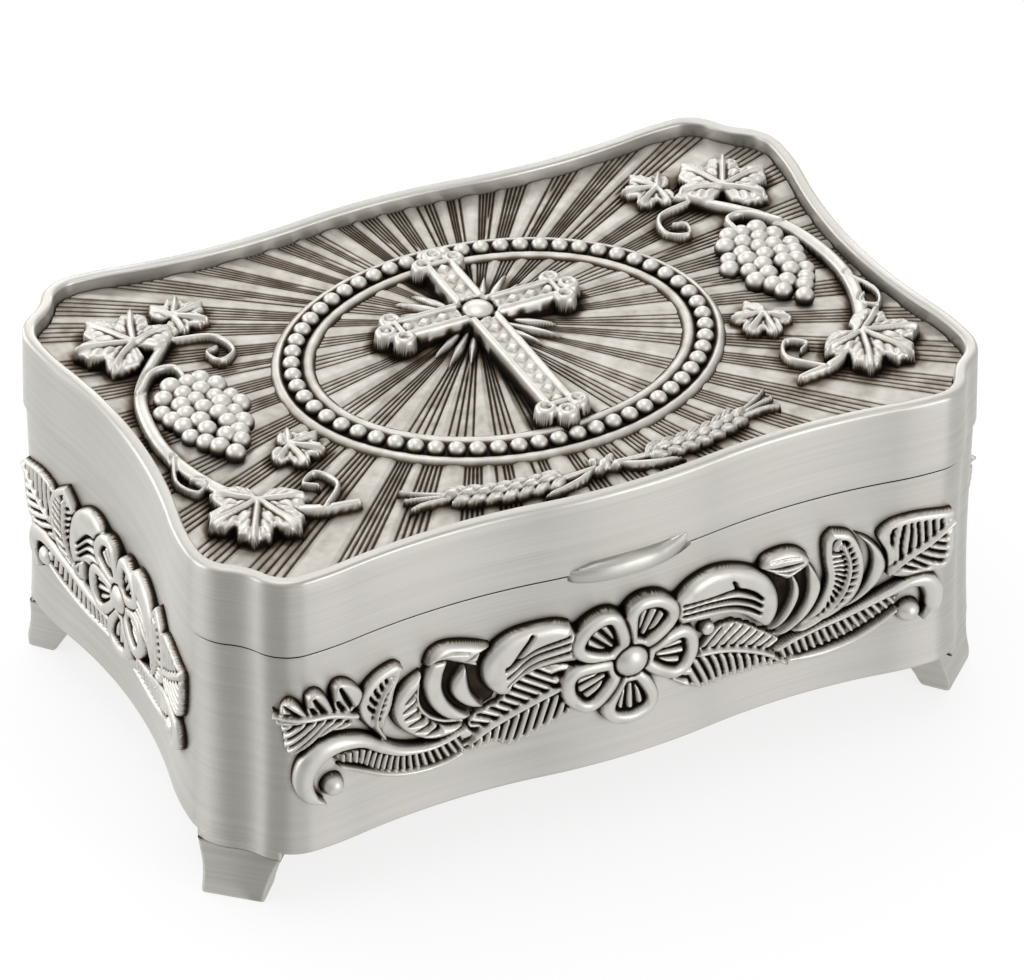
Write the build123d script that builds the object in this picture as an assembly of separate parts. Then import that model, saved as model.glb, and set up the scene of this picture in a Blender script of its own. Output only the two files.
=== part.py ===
from build123d import *
import os
from math import asin, cos, radians, sin

# A small keepsake box for a rosary, in antique-finished cast metal: four serpentine walls on diagonal
# feet, a hinged lid with a relief plaque, cast floral mounts on every wall and a velvet lining.
# Millimetres, +Z up, the front faces -Y. The origin is the middle of the footprint, on the surface
# that the feet stand on.

# ---------------------------------------------------------------- plan of the walls
# One quarter of the plan, from the middle of a long side to the middle of a short side, is a chain of
# tangent bends. Each bend has a radius and the angle that it turns through.
half_length = 52.0          # centre to the corner lobes of the short sides
half_width = 35.14          # centre to the outward bow in the middle of the long sides
bow_turn = 7.53             # outward bow in the middle of a long side
shoulder_radius = 38.8      # long side, where it swells towards the corner
shoulder_turn = 9.0
long_lobe_radius = 5.5      # corner lobe on the long side
long_lobe_turn = 63.2
notch_radius = 7.4          # shallow hollow between the two lobes of a corner
notch_turn = 28.8
short_lobe_radius = 6.3     # corner lobe on the short side
end_swell_radius = 35.6     # short side, just past its lobe
end_turn = 12.7             # the same turn leads into the hollow middle of the short side

# ---------------------------------------------------------------- heights
foot_height = 8.7
seam_height = 37.5          # where lid and base part
rim_height = 48.0           # top of the lid's rim
seam_gap = 0.15             # hairline between lid and base

# ---------------------------------------------------------------- base
wall = 2.0                  # base wall
plate_thickness = 1.5
fit = 0.03                  # radial clearance of pieces soldered into one another

# ---------------------------------------------------------------- lid
lid_wall = 2.0
lid_flare = 0.35            # how far the lid stands out past the base
rim_width = 1.6
recess_depth = 2.0          # rim down to the plaque's ground
plaque_thickness = 1.2
plaque_gap = 0.2            # gap round the plaque
deck_thickness = 1.2        # web of the lid under the plaque
tab_half_width = 8.2        # finger tab under the lid's front edge
tab_reach = 1.9
tab_rise = 1.5              # above the seam
tab_drop = 0.6              # below the seam
tab_bevel = 0.7
tab_clearance = 0.3         # tab to base wall

# ---------------------------------------------------------------- feet
foot_facing = 45.0          # degrees from the long way of the box
foot_shift = 1.8            # off the middle of the corner notch, towards the short side
foot_top_width = 10.4
foot_foot_width = 7.6
foot_setback = 0.6          # top of the foot, inside the corner notch
foot_flare = 1.1            # toe, outside the corner notch
foot_toe = 2.8              # length of the flat that it stands on
foot_root = 7.0             # depth of the foot where it meets the base
foot_round = 0.9            # rounded edge of the toe
foot_hollow = 0.5           # how far the sides bend in, half-way up

# ---------------------------------------------------------------- lining
lining_gap = 0.1            # glue line between a lining piece and the metal
pad_thickness = 1.5         # floor pad
strip_thickness = 1.0       # wall strips
strip_margin = 1.5          # wall strips stop this far below the seam
strip_joint = 0.3           # gap where two strips meet in a corner
lid_pad_thickness = 1.2

# ---------------------------------------------------------------- hinge
hinge_length = 26.0
lid_knuckle = 12.0
knuckle_gap = 0.15
barrel_radius = 1.25
barrel_gap = 0.15           # barrel to the lid's back edge
pin_radius = 0.6
pin_clearance = 0.05        # pin in the lid's knuckle
pin_press = 0.01            # pin in the base's knuckles
leaf_height = 3.2           # of each leaf, measured from the seam
leaf_reach = 0.8            # outer face of a leaf, past the middle of the back wall
open_angle = 100.0
stop_margin = 2.0           # the heels stop the lid this many degrees past open_angle

# ---------------------------------------------------------------- floral mounts
wall_height = seam_height - foot_height
flower_height = foot_height + 0.53 * wall_height
mount_shift = -0.5          # the long mounts sit this far off the middle of their wall
low_leaf = 1.3              # how far the lower leaves stand out from the wall
high_leaf = 2.1             # and the upper ones, the petals and the scrolls
dome_height = barrel_radius * 2 + barrel_gap + lid_flare   # as far as the hinge stands out at the back
petal_share = 0.4           # radius of a petal, as a share of the flower's reach

# The mounts and the vines are drawn in mm for walls 28.8 high on a box 104 by 70.28. They grow and
# shrink with whichever of these leaves them the least room.
vine_scale = min(half_length / 52, half_width / 35.14)
mount_scale = min(wall_height / 28.8, vine_scale)

# ---------------------------------------------------------------- relief on the plaque
relief_rise = 1.2           # the cross stands this far above the rim
cross_head = 19.0           # middle of the lid to the ends of the cross
cross_foot = 18.5
cross_arm = 12.5
cross_arm_place = 6.0       # the arms sit this far behind the middle
cross_width = 4.6
cross_bevel = 0.9
medallion_length = 57.0     # oval under the cross
medallion_width = 47.0
medallion_height = 0.6      # above the ground
vine_height = 2.2           # vines, grapes and wheat, above the ground
vine_width = 2.2
vine_leaf_size = 6.8


# ================================================================ plan
def corner_bends():
    """Bends of one corner, from the top of the long side's lobe to the top of the short side's."""
    short_lobe_turn = 90 - long_lobe_turn + notch_turn
    return [
        (long_lobe_radius, long_lobe_turn),
        (notch_radius, -notch_turn),
        (short_lobe_radius, short_lobe_turn),
    ]


def follow(x, y, heading, bends, offset=0.0):
    """Follow tangent bends from (x, y). A turn above 0 bends outward, clockwise.

    Returns the end point and heading, and each bend as three points of the curve that runs offset
    outside the chain.
    """
    arcs = []
    for radius, turn in bends:
        side = 1 if turn > 0 else -1
        centre_x = x + side * radius * sin(radians(heading))
        centre_y = y - side * radius * cos(radians(heading))
        points = []
        for part in (0.0, 0.5, 1.0):
            angle = radians(heading - part * turn)
            reach = side * (radius + side * offset)
            points.append((centre_x - reach * sin(angle), centre_y + reach * cos(angle)))
        arcs.append(points)
        heading -= turn
        x = centre_x - side * radius * sin(radians(heading))
        y = centre_y + side * radius * cos(radians(heading))
    return x, y, heading, arcs


def long_side_bends():
    """Bends of half a long side. Bow and hollow share the radius that makes up the length."""
    corner_run = follow(0, 0, 0, corner_bends())[0]
    sines = 2 * sin(radians(bow_turn)) + sin(radians(shoulder_turn))
    run = half_length - corner_run - shoulder_radius * sin(radians(shoulder_turn))
    radius = run / sines
    return [
        (radius, bow_turn),
        (radius, -bow_turn - shoulder_turn),
        (shoulder_radius, shoulder_turn),
    ]


def quarter_bends():
    bends = long_side_bends() + corner_bends() + [(end_swell_radius, end_turn)]
    y = follow(0, half_width, 0, bends)[1]
    return bends + [(y / sin(radians(end_turn)), -end_turn)]


QUARTER = quarter_bends()
bow_radius = QUARTER[0][0]


def plan(offset=0.0, z=0.0):
    """The plan as a face at height z, grown outward by offset."""
    quarter = follow(0, half_width, 0, QUARTER, offset)[3]
    edges = []
    for flip_x, flip_y in ((-1, 1), (-1, -1), (1, -1), (1, 1)):
        for arc in quarter:
            edges.append(ThreePointArc(*[(flip_x * x, flip_y * y) for x, y in arc]))
    return Pos(0, 0, z) * make_face(edges)


def prism(offset, bottom, top):
    return extrude(plan(offset, bottom), amount=top - bottom, dir=(0, 0, 1))


def corner_notch():
    """Middle of the hollow in a corner, and the direction in which it faces, in degrees from +X."""
    bends = long_side_bends() + [(long_lobe_radius, long_lobe_turn), (notch_radius, -notch_turn / 2)]
    x, y, heading, _ = follow(0, half_width, 0, bends)
    return x, y, heading + 90


def block(x0, x1, y0, y1, z0, z1):
    size = (x1 - x0, y1 - y0, z1 - z0)
    centre = ((x0 + x1) / 2, (y0 + y1) / 2, (z0 + z1) / 2)
    return Pos(*centre) * Box(*size)


def rod(radius, x0, x1, y, z):
    """A round bar along X."""
    return Pos((x0 + x1) / 2, y, z) * Rot(0, 90, 0) * Cylinder(radius, x1 - x0)


def arcs(*points):
    """A chain of arcs: every second point is a corner, and those between say how far each arc bulges."""
    return [ThreePointArc(*points[i:i + 3]) for i in range(0, len(points) - 2, 2)]


# ================================================================ base
def base_wall():
    return prism(0, foot_height, seam_height) - prism(-wall, foot_height, seam_height)


def base_plate():
    return prism(-wall - fit, foot_height, foot_height + plate_thickness)


def foot():
    """One foot, standing at the origin of its corner: X points outward, Y along the foot's width."""
    toe = foot_flare - foot_round
    heel = toe - foot_toe
    side = make_face([
        Line((-foot_setback, foot_height), (-foot_root, foot_height)),
        *arcs((-foot_root, foot_height), (-0.76 * foot_root, 0.64 * foot_height),
              (-0.5 * foot_root, 0.39 * foot_height), (heel - 0.1 * foot_root, 0.2 * foot_height), (heel, 0)),
        Line((heel, 0), (toe, 0)),
        *arcs((toe, 0), (foot_flare - 0.15 * foot_round, 0.5 * foot_round), (foot_flare, 1.5 * foot_round),
              (0, 0.5 * foot_height), (-foot_setback, foot_height)),
    ])
    top = foot_top_width / 2
    bottom = foot_foot_width / 2
    middle = (top + bottom) / 2 - foot_hollow
    front = make_face([
        Line((-top, foot_height), (top, foot_height)),
        ThreePointArc((top, foot_height), (middle, foot_height / 2), (bottom, 0)),
        Line((bottom, 0), (-bottom, 0)),
        ThreePointArc((-bottom, 0), (-middle, foot_height / 2), (-top, foot_height)),
    ])
    slab = extrude(Plane.XZ * side, amount=foot_top_width, both=True)
    shape = extrude(Plane.YZ * front, amount=foot_root + foot_flare + 1, both=True)
    return slab & shape


def placed_foot(flip_x, flip_y):
    x, y, facing = corner_notch()
    x += foot_shift * sin(radians(facing))
    y -= foot_shift * cos(radians(facing))
    placed = Pos(x, y, 0) * Rot(0, 0, foot_facing) * foot()
    if flip_x < 0:
        placed = mirror(placed, about=Plane.YZ)
    if flip_y < 0:
        placed = mirror(placed, about=Plane.XZ)
    return placed


# ================================================================ lid
lid_bottom = seam_height + seam_gap
ground_height = rim_height - recess_depth
deck_top = ground_height - plaque_thickness
deck_bottom = deck_top - deck_thickness


def finger_tab():
    """A crescent lip in the middle of the lid's front edge; it hangs a little over the seam."""
    edge = half_width + lid_flare
    root = edge - lid_wall / 2
    outline = make_face([
        ThreePointArc((-tab_half_width, -root), (0, -edge - tab_reach), (tab_half_width, -root)),
        Line((tab_half_width, -root), (-tab_half_width, -root)),
    ])
    bottom = seam_height - tab_drop
    lip = extrude(Pos(0, 0, bottom) * outline, amount=tab_drop + tab_rise, dir=(0, 0, 1))
    top_edges = lip.faces().sort_by(Axis.Z)[-1].edges().filter_by(GeomType.CIRCLE)
    lip = chamfer(top_edges, tab_bevel)
    return lip - prism(tab_clearance, bottom, lid_bottom)


def lid_outside():
    """The lid as a full block."""
    return prism(lid_flare, lid_bottom, rim_height)


def lid_frame():
    outside = lid_outside()
    hollow = prism(-lid_wall, lid_bottom, deck_bottom)
    recess = prism(-rim_width, deck_top, rim_height)
    return outside - hollow - recess + finger_tab()


def lid_lining():
    return prism(-lid_wall - lining_gap * 3, deck_bottom - lid_pad_thickness, deck_bottom)


# ================================================================ lining
def floor_lining():
    bottom = foot_height + plate_thickness
    return prism(-wall - lining_gap * 3, bottom, bottom + pad_thickness)


def corner_cut(grow):
    """A prism over the long sides' share of the plan, bounded by a line through each corner notch."""
    x, y, facing = corner_notch()
    inner = x - y * cos(radians(facing)) / sin(radians(facing)) + grow
    outer_x = inner + 2 * half_length * cos(radians(facing))
    outer_y = 2 * half_length * sin(radians(facing))
    face = make_face(Polyline((inner, 0), (outer_x, outer_y), (-outer_x, outer_y), (-inner, 0), close=True))
    back = extrude(face, amount=rim_height, dir=(0, 0, 1))
    return back + mirror(back, about=Plane.XZ)


def wall_strips():
    """Four strips in front, back, left, right order."""
    bottom = foot_height + plate_thickness + pad_thickness + lining_gap
    top = seam_height - strip_margin
    inner = -wall - lining_gap
    ring = prism(inner, bottom, top) - prism(inner - strip_thickness, bottom, top)
    long_strips = (ring & corner_cut(-strip_joint)).solids().sort_by(Axis.Y)
    short_strips = (ring - corner_cut(strip_joint)).solids().sort_by(Axis.X)
    return long_strips[0], long_strips[-1], short_strips[0], short_strips[-1]


# ================================================================ hinge
hinge_y = half_width + lid_flare + barrel_gap + barrel_radius
hinge_z = seam_height + seam_gap / 2
leaf_face = half_width + leaf_reach


def hinge_pin():
    return rod(pin_radius, -hinge_length / 2, hinge_length / 2, hinge_y, hinge_z)


def stop_heel():
    """Height of the square heels over the pin that meet the lid's back face when it has swung open."""
    knuckle_end = lid_knuckle / 2 + knuckle_gap
    bow = bow_radius * (1 - cos(asin(knuckle_end / bow_radius)))
    lid_distance = hinge_y - (half_width + lid_flare - bow)
    facing = radians(180 - open_angle - stop_margin)
    return (lid_distance - barrel_radius * cos(facing)) / sin(facing)


def hinge_base_leaf():
    end = hinge_length / 2
    inner_end = lid_knuckle / 2 + knuckle_gap
    leaf = block(-end, end, half_width - wall, leaf_face, seam_height - leaf_height, seam_height)
    leaf -= prism(0, foot_height, rim_height)
    leaf -= rod(barrel_radius + knuckle_gap, -inner_end, inner_end, hinge_y, hinge_z)
    for x0, x1 in ((-end, -inner_end), (inner_end, end)):
        leaf += rod(barrel_radius, x0, x1, hinge_y, hinge_z)
        leaf += block(x0, x1, hinge_y, hinge_y + barrel_radius, hinge_z, hinge_z + stop_heel())
    return leaf - rod(pin_radius + pin_press, -end, end, hinge_y, hinge_z)


def hinge_lid_leaf():
    end = lid_knuckle / 2
    leaf = block(-end, end, half_width - lid_wall, leaf_face, lid_bottom, seam_height + leaf_height)
    leaf -= lid_outside()
    leaf += rod(barrel_radius, -end, end, hinge_y, hinge_z)
    return leaf - rod(pin_radius + pin_clearance, -end, end, hinge_y, hinge_z)


# ================================================================ floral mounts
# A mount is drawn flat, as (across, up) from the middle of its flower, then carried onto the wall:
# every leaf stands out from the curved wall by one height all over.
FRONT = Plane(origin=(mount_shift, 0, flower_height), x_dir=(1, 0, 0), z_dir=(0, -1, 0))
LEFT = Plane(origin=(0, 0, flower_height), x_dir=(0, -1, 0), z_dir=(-1, 0, 0))


def leaf(*points):
    """A closed outline with straight edges."""
    return make_face(Polyline(*points, close=True))


def ribbon(points, half_width_of_ribbon):
    """The outline of an even ribbon along its middle line."""
    left, right = [], []
    for i, (x, y) in enumerate(points):
        before = points[max(i - 1, 0)]
        after = points[min(i + 1, len(points) - 1)]
        run = Vector(after[0] - before[0], after[1] - before[1]).normalized() * half_width_of_ribbon
        left.append((x - run.Y, y + run.X))
        right.append((x + run.Y, y - run.X))
    return leaf(*left, *reversed(right))


class Wall:
    """One wall, ready to carry drawn faces onto its outer surface."""

    def __init__(self, plane, start):
        self.plane = plane
        self.start = start
        self.body = prism(0, foot_height, seam_height)

    def column(self, faces):
        drawing = scale(Sketch() + faces, by=mount_scale)
        return extrude(self.plane.offset(self.start) * drawing, amount=2 * half_width, dir=self.plane.z_dir)

    def mount(self, low, high, boss, boss_height):
        """A casting on the wall, in three levels: each stands on the silhouette of those above it."""
        casting = None
        bottom = self.body
        for faces, height in ((low + high, low_leaf), (high, high_leaf), ([boss], boss_height)):
            top = prism(height, foot_height, seam_height)
            level = (self.column(faces) & top) - bottom
            casting = level if casting is None else casting + level
            bottom = top
        return casting


def petals(angles, reach):
    """Six-sided petals. Reach is the distance from the middle of the flower to their tips."""
    radius = petal_share * reach
    return [Rot(0, 0, angle) * Pos(reach - radius, 0) * RegularPolygon(radius, 6) for angle in angles]


def long_mount():
    """The front mount: a flower between shell leaves, on a spray of feather leaves, buds and scrolls."""
    spray = leaf(
        # the tips of the end leaf, the upright leaf, the bud and the shell leaf, left to right
        (-45.2, 4.6), (-42.4, 7.2), (-36.8, 7.0), (-34.4, 4.6), (-31.0, 7.6), (-28.2, 5.0), (-23.6, 8.0),
        (-19.4, 5.0), (-12.0, 7.8), (13.0, 8.2), (18.6, 5.4), (22.6, 7.6), (26.6, 5.0), (30.2, 7.8),
        (34.2, 5.0), (39.0, 7.6), (45.2, 6.4),
        # the right scroll, the two banded edges with the feather leaves between, and the left scroll
        (43.8, -5.4), (39.8, -8.0), (22.0, -9.8), (14.0, -9.8), (5.0, -5.8), (-8.2, -6.6), (-15.2, -9.2),
        (-28.0, -9.6), (-39.2, -8.0), (-43.8, -4.6),
    )
    shells = [
        leaf((-4.0, 5.6), (-14.0, 7.6), (-18.8, 3.0), (-17.6, -0.8), (-5.0, 0.8)),
        leaf((4.0, 5.8), (12.6, 8.0), (18.6, 4.8), (20.4, -2.0), (10.4, 0.8), (5.0, 1.0)),
    ]
    flower = petals((270, 350, 64, 133, 201), 9.5)
    return Wall(FRONT, half_width - 10).mount([spray], flower + shells, RegularPolygon(2.5, 6), dome_height)


def short_mount():
    """The side mount: a smaller flower on a matching spray of leaves and scrolls."""
    half = [(0.0, 5.0), (7.6, 7.2), (12.4, 5.0), (15.4, 7.4), (20.6, 7.6), (26.2, 6.0), (23.4, -5.4), (19.0, -7.6),
            (9.0, -8.6), (0.0, -6.0)]
    spray = leaf(*half, *[(-x, y) for x, y in reversed(half[1:-1])])
    flower = petals((270, 342, 54, 126, 198), 7.6)
    return Wall(LEFT, half_length - 14).mount([spray], flower, RegularPolygon(2.0, 6), high_leaf + 0.5)


# ================================================================ plaque
def vine_leaf(x, y, turn, size):
    """A five-lobed leaf. Size is the distance from its middle to the tips of its lobes."""
    tips = [Vector(1, 0).rotate(Axis.Z, turn + step * 60) * size for step in range(-2, 3)]
    hollows = [Vector(1, 0).rotate(Axis.Z, turn + step * 60) * size * 0.6 for step in (-1.5, -0.5, 0.5, 1.5, 3)]
    points = [(x + point.X, y + point.Y) for pair in zip(tips, hollows) for point in pair]
    return make_face(Polyline(*points, close=True))


def oval(length, width, bend):
    """An oval of four arcs. Bend is the share of its size at which the arcs of its quarters meet."""
    x, y = length / 2, width / 2
    meet = [(bend * x, bend * y), (-bend * x, bend * y), (-bend * x, -bend * y), (bend * x, -bend * y)]
    return make_face(arcs(meet[0], (0, y), meet[1], (-x, 0), meet[2], (0, -y), meet[3], (x, 0), meet[0]))


def lid_plaque():
    """The relief plaque: a cross on an oval medallion, between vines with grapes and ears of wheat."""
    plaque = prism(-rim_width - plaque_gap, deck_top, ground_height)
    vine = [(30.0, -23.0), (38.0, -17.6), (43.3, -9.5), (45.2, 0.0), (43.3, 9.5), (38.0, 17.6), (30.0, 23.0)]
    half_side = [
        ribbon(vine, vine_width / 2),
        leaf((32.4, 6.0), (35.0, 10.6), (41.0, 10.6), (43.6, 6.0), (41.0, -4.0), (38.2, -9.4), (35.0, -2.0)),
        leaf((2.0, -26.6), (7.0, -28.8), (13.0, -29.4), (20.4, -27.2), (14.0, -25.4), (7.0, -25.2)),
        vine_leaf(38.0, 17.6, 60, vine_leaf_size),
        vine_leaf(38.0, -17.0, -60, vine_leaf_size),
    ]
    vines = scale(Sketch() + half_side + [mirror(face, about=Plane.YZ) for face in half_side], by=vine_scale)
    cross = Pos(0, (cross_head - cross_foot) / 2) * Rectangle(cross_width, cross_head + cross_foot)
    cross += Pos(0, cross_arm_place) * Rectangle(2 * cross_arm, cross_width)
    ground = Pos(0, 0, ground_height)
    raised = extrude(ground * cross, amount=recess_depth + relief_rise)
    plaque += extrude(ground * oval(medallion_length, medallion_width, 0.73), amount=medallion_height)
    plaque += extrude(ground * vines, amount=vine_height)
    return plaque + chamfer(raised.faces().sort_by(Axis.Z)[-1].edges(), cross_bevel)


def parts():
    long_front = long_mount()
    short_left = short_mount()
    strip_front, strip_back, strip_left, strip_right = wall_strips()
    return {
        "base_wall": base_wall(),
        "base_plate": base_plate(),
        "foot_front_left": placed_foot(-1, -1),
        "foot_front_right": placed_foot(1, -1),
        "foot_back_left": placed_foot(-1, 1),
        "foot_back_right": placed_foot(1, 1),
        "front_garland": long_front,
        "back_garland": Rot(0, 0, 180) * long_front,
        "left_garland": short_left,
        "right_garland": Rot(0, 0, 180) * short_left,
        "floor_lining": floor_lining(),
        "wall_lining_front": strip_front,
        "wall_lining_back": strip_back,
        "wall_lining_left": strip_left,
        "wall_lining_right": strip_right,
        "hinge_base_leaf": hinge_base_leaf(),
        "hinge_pin": hinge_pin(),
        "lid_frame": lid_frame(),
        "lid_plaque": lid_plaque(),
        "lid_lining": lid_lining(),
        "hinge_lid_leaf": hinge_lid_leaf(),
    }


os.makedirs("parts", exist_ok=True)
for name, solid in parts().items():
    solid.label = name
    export_step(solid, f"parts/{name}.step")
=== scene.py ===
from math import atan2, cos, degrees, pi, radians, sin

import bpy
import numpy as np
from mathutils import Matrix, Vector


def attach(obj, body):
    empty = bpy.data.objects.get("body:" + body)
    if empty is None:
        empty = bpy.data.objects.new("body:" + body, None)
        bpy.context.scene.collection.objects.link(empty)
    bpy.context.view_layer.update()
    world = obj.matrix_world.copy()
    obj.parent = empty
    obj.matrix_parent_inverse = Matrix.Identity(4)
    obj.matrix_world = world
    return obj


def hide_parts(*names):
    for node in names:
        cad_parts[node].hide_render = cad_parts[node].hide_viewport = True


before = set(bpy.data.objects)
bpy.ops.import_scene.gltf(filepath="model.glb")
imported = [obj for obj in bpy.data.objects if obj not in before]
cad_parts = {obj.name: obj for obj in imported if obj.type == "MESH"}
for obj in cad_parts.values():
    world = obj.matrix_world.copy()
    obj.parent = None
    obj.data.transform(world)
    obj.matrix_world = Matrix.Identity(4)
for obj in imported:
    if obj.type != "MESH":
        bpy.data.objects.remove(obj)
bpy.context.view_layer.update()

# The castings are drawn in millimetres, in the frame of the CAD part, and meshed in metres.
MM = 0.001

# ---------------------------------------------------------------- camera and studio
CAMERA_PLACE = (-0.2500, -0.5039, 0.4283)
CAMERA_AZIMUTH = 26.555     # degrees: the camera looks along +Y turned this far towards +X
CAMERA_ELEVATION = 35.638
CAMERA_ROLL = 0.36          # the photograph leans by this much
CAMERA_LENS = 196.67
BACKGROUND = (1.0, 1.0, 1.0, 1.0)

# ---------------------------------------------------------------- plan of the walls, as in the part
HALF_LENGTH = 52.0
HALF_WIDTH = 35.14
BOW_TURN = 7.53
SHOULDER = (38.8, 9.0)      # radius, turn
LONG_LOBE = (5.5, 63.2)
NOTCH = (7.4, 28.8)
SHORT_LOBE_RADIUS = 6.3
END_SWELL = (35.6, 12.7)

FOOT_HEIGHT = 8.7
SEAM = 37.5
RIM = 48.0
SEAM_GAP = 0.15
WALL = 2.0
LID_FLARE = 0.35
RIM_WIDTH = 1.6
GROUND = 46.0               # top of the plaque's ground
DECK_TOP = 44.8
DECK_BOTTOM = 43.6
PLAQUE_GAP = 0.2
FLOWER_HEIGHT = 23.96       # middle of the mounts' flowers
MOUNT_SHIFT = -0.5          # the long mounts sit this far off the middle of their walls
SIDE_SHIFT = -1.0
SIDE_RELIEF = 0.8           # the side mounts are cast flatter than the long ones
REACH = 53.25               # nothing stands out past this along X
WALL_END = 0.25             # a wall ends where its normal faces out by no more than this
FLARE = 0.65                # the base's walls stand out this far at their foot
FLARE_TOP = 26.0            # and are straight from here up
SEAM_SHADE = 0.2            # painted shadow of the lid's edge darkens this much of the base's wall under the seam
MOUNT_STEP = 0.125          # grid of the mounts' relief
PLAQUE_STEP = 0.14          # grid of the plaque's relief
SPLINE_STEPS = 6            # points that a smooth line gets for each one it is drawn through


# ================================================================ plan
def lengths(line):
    """Length along a line up to each of its points."""
    return np.concatenate([[0], np.cumsum(np.hypot(*np.diff(line, axis=0).T))])


def bends():
    """Radius and turn of each bend, from the middle of a long side to the middle of a short side."""
    corner = [LONG_LOBE, (NOTCH[0], -NOTCH[1]), (SHORT_LOBE_RADIUS, 90 - LONG_LOBE[1] + NOTCH[1])]
    corner_run = follow(corner, (0, 0))[0][-1][0]
    run = HALF_LENGTH - corner_run - SHOULDER[0] * sin(radians(SHOULDER[1]))
    radius = run / (2 * sin(radians(BOW_TURN)) + sin(radians(SHOULDER[1])))
    chain = [(radius, BOW_TURN), (radius, -BOW_TURN - SHOULDER[1]), SHOULDER] + corner + [END_SWELL]
    y = follow(chain, (0, HALF_WIDTH))[0][-1][1]
    return chain + [(y / sin(radians(END_SWELL[1])), -END_SWELL[1])]


def follow(chain, start, step=0.35):
    """Points and outward normals along tangent bends that start out towards +X."""
    x, y = start
    heading = 0.0
    points, normals = [(x, y)], [(0.0, 1.0)]
    for radius, turn in chain:
        side = 1 if turn > 0 else -1
        cx = x + side * radius * sin(radians(heading))
        cy = y - side * radius * cos(radians(heading))
        count = max(2, round(radius * radians(abs(turn)) / step))
        for k in range(1, count + 1):
            angle = radians(heading - turn * k / count)
            normals.append((-sin(angle), cos(angle)))
            points.append((cx - side * radius * sin(angle), cy + side * radius * cos(angle)))
        heading -= turn
        x, y = points[-1]
    return np.array(points), np.array(normals)


def whole_plan():
    """The closed plan, counter-clockwise from the middle of the right side, with its normals."""
    p, n = follow(bends(), (0, HALF_WIDTH))
    p, n = p[::-1], n[::-1]
    points, normals = [p], [n]
    for flip, backward in (((-1, 1), True), ((-1, -1), False), ((1, -1), True)):
        q, m = p * flip, n * flip
        if backward:
            q, m = q[::-1], m[::-1]
        points.append(q[1:])
        normals.append(m[1:])
    return np.concatenate(points)[:-1], np.concatenate(normals)[:-1]


PLAN, NORMAL = whole_plan()
PLAN_RUN = lengths(PLAN)


def wall_line(short=False):
    """Points and normals of half a wall, as (along it, out of the box), from its middle to its end."""
    p, n = follow(bends(), (0, HALF_WIDTH))
    if short:
        p, n = p[::-1, ::-1], n[::-1, ::-1]
    reach = int(np.argmax(n[:, 1] < WALL_END))
    return p[:reach], n[:reach]


def stretch(chosen):
    """Indices of the chosen points of the plan, in order even where they lie across its start."""
    index = np.flatnonzero(chosen)
    gap = np.flatnonzero(np.diff(index) > 1)
    if len(gap):
        index = np.concatenate([index[gap[0] + 1:], index[:gap[0] + 1]])
    return index


def at_height(xy, z):
    """Points of the plan at one height."""
    return np.concatenate([xy, np.full((len(xy), 1), z)], axis=1)


# ================================================================ mesh helpers
def linked(name, data):
    """A new object of the scene."""
    thing = bpy.data.objects.new(name, data)
    bpy.context.scene.collection.objects.link(thing)
    return thing


def mesh_object(name, co, faces, body, slot, hollow=None, along=None, smooth=True):
    """A mesh from points in millimetres.

    Hollow tells the finish how dark each point is, by patina in the hollows and by painted shade where it is added,
    and along its place on the brushed lines.
    """
    mesh = bpy.data.meshes.new(name)
    mesh.from_pydata((np.asarray(co, np.float32) * MM).tolist(), [], list(faces))
    along = co[:, 0] if along is None else along
    if hollow is not None:
        for key, values in (("along", along), ("hollow", hollow)):
            layer = mesh.attributes.new(key, "FLOAT", "POINT")
            layer.data.foreach_set("value", np.asarray(values, np.float32))
    mesh.polygons.foreach_set("use_smooth", [smooth] * len(mesh.polygons))
    mesh.validate()
    piece = linked(name, mesh)
    piece.data.materials.append(FINISH[slot])
    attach(piece, body)
    return piece


def rounded(corners, steps=5):
    """A closed profile of (x, y, radius) corners, with its corners rounded."""
    points = []
    count = len(corners)
    for k, (x, y, radius) in enumerate(corners):
        here = np.array((x, y), float)
        before = np.array(corners[k - 1][:2], float) - here
        after = np.array(corners[(k + 1) % count][:2], float) - here
        if radius <= 0:
            points.append(here)
            continue
        before /= np.hypot(*before)
        after /= np.hypot(*after)
        half = np.arccos(np.clip(before @ after, -1, 1)) / 2
        centre = here + (before + after) / np.hypot(*(before + after)) * radius / sin(half)
        start = here + before * radius / np.tan(half) - centre
        end = here + after * radius / np.tan(half) - centre
        sweep = (atan2(end[1], end[0]) - atan2(start[1], start[0]) + pi) % (2 * pi) - pi
        for j in range(steps + 1):
            angle = atan2(start[1], start[0]) + sweep * j / steps
            points.append(centre + radius * np.array((cos(angle), sin(angle))))
    return np.array(points)


def dense(profile, step):
    """The same closed profile with points at most a step apart."""
    points = []
    for a, b in zip(profile, np.roll(profile, -1, axis=0)):
        count = max(1, int(np.ceil(np.hypot(*(b - a)) / step)))
        points += [a + (b - a) * k / count for k in range(count)]
    return np.array(points)


def grid_faces(rows, columns, wrap_rows=False, wrap_columns=True):
    """Quads over rows of points. A direction that wraps runs on from its last point to its first."""
    i = np.arange(rows if wrap_rows else rows - 1)
    j = np.arange(columns if wrap_columns else columns - 1)
    i, j = np.meshgrid(i, j, indexing="ij")
    next_i, next_j = (i + 1) % rows, (j + 1) % columns
    corners = [i * columns + j, next_i * columns + j, next_i * columns + next_j, i * columns + next_j]
    return np.stack(corners, axis=-1).reshape(-1, 4)


def swept(index, profile):
    """A closed profile of (offset, height), carried to the points of the plan that the index names."""
    xy = PLAN[index][:, None, :] + NORMAL[index][:, None, :] * profile[None, :, :1]
    z = np.broadcast_to(profile[None, :, 1:], xy.shape[:2] + (1,))
    return np.concatenate([xy, z], axis=2).reshape(-1, 3)


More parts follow.
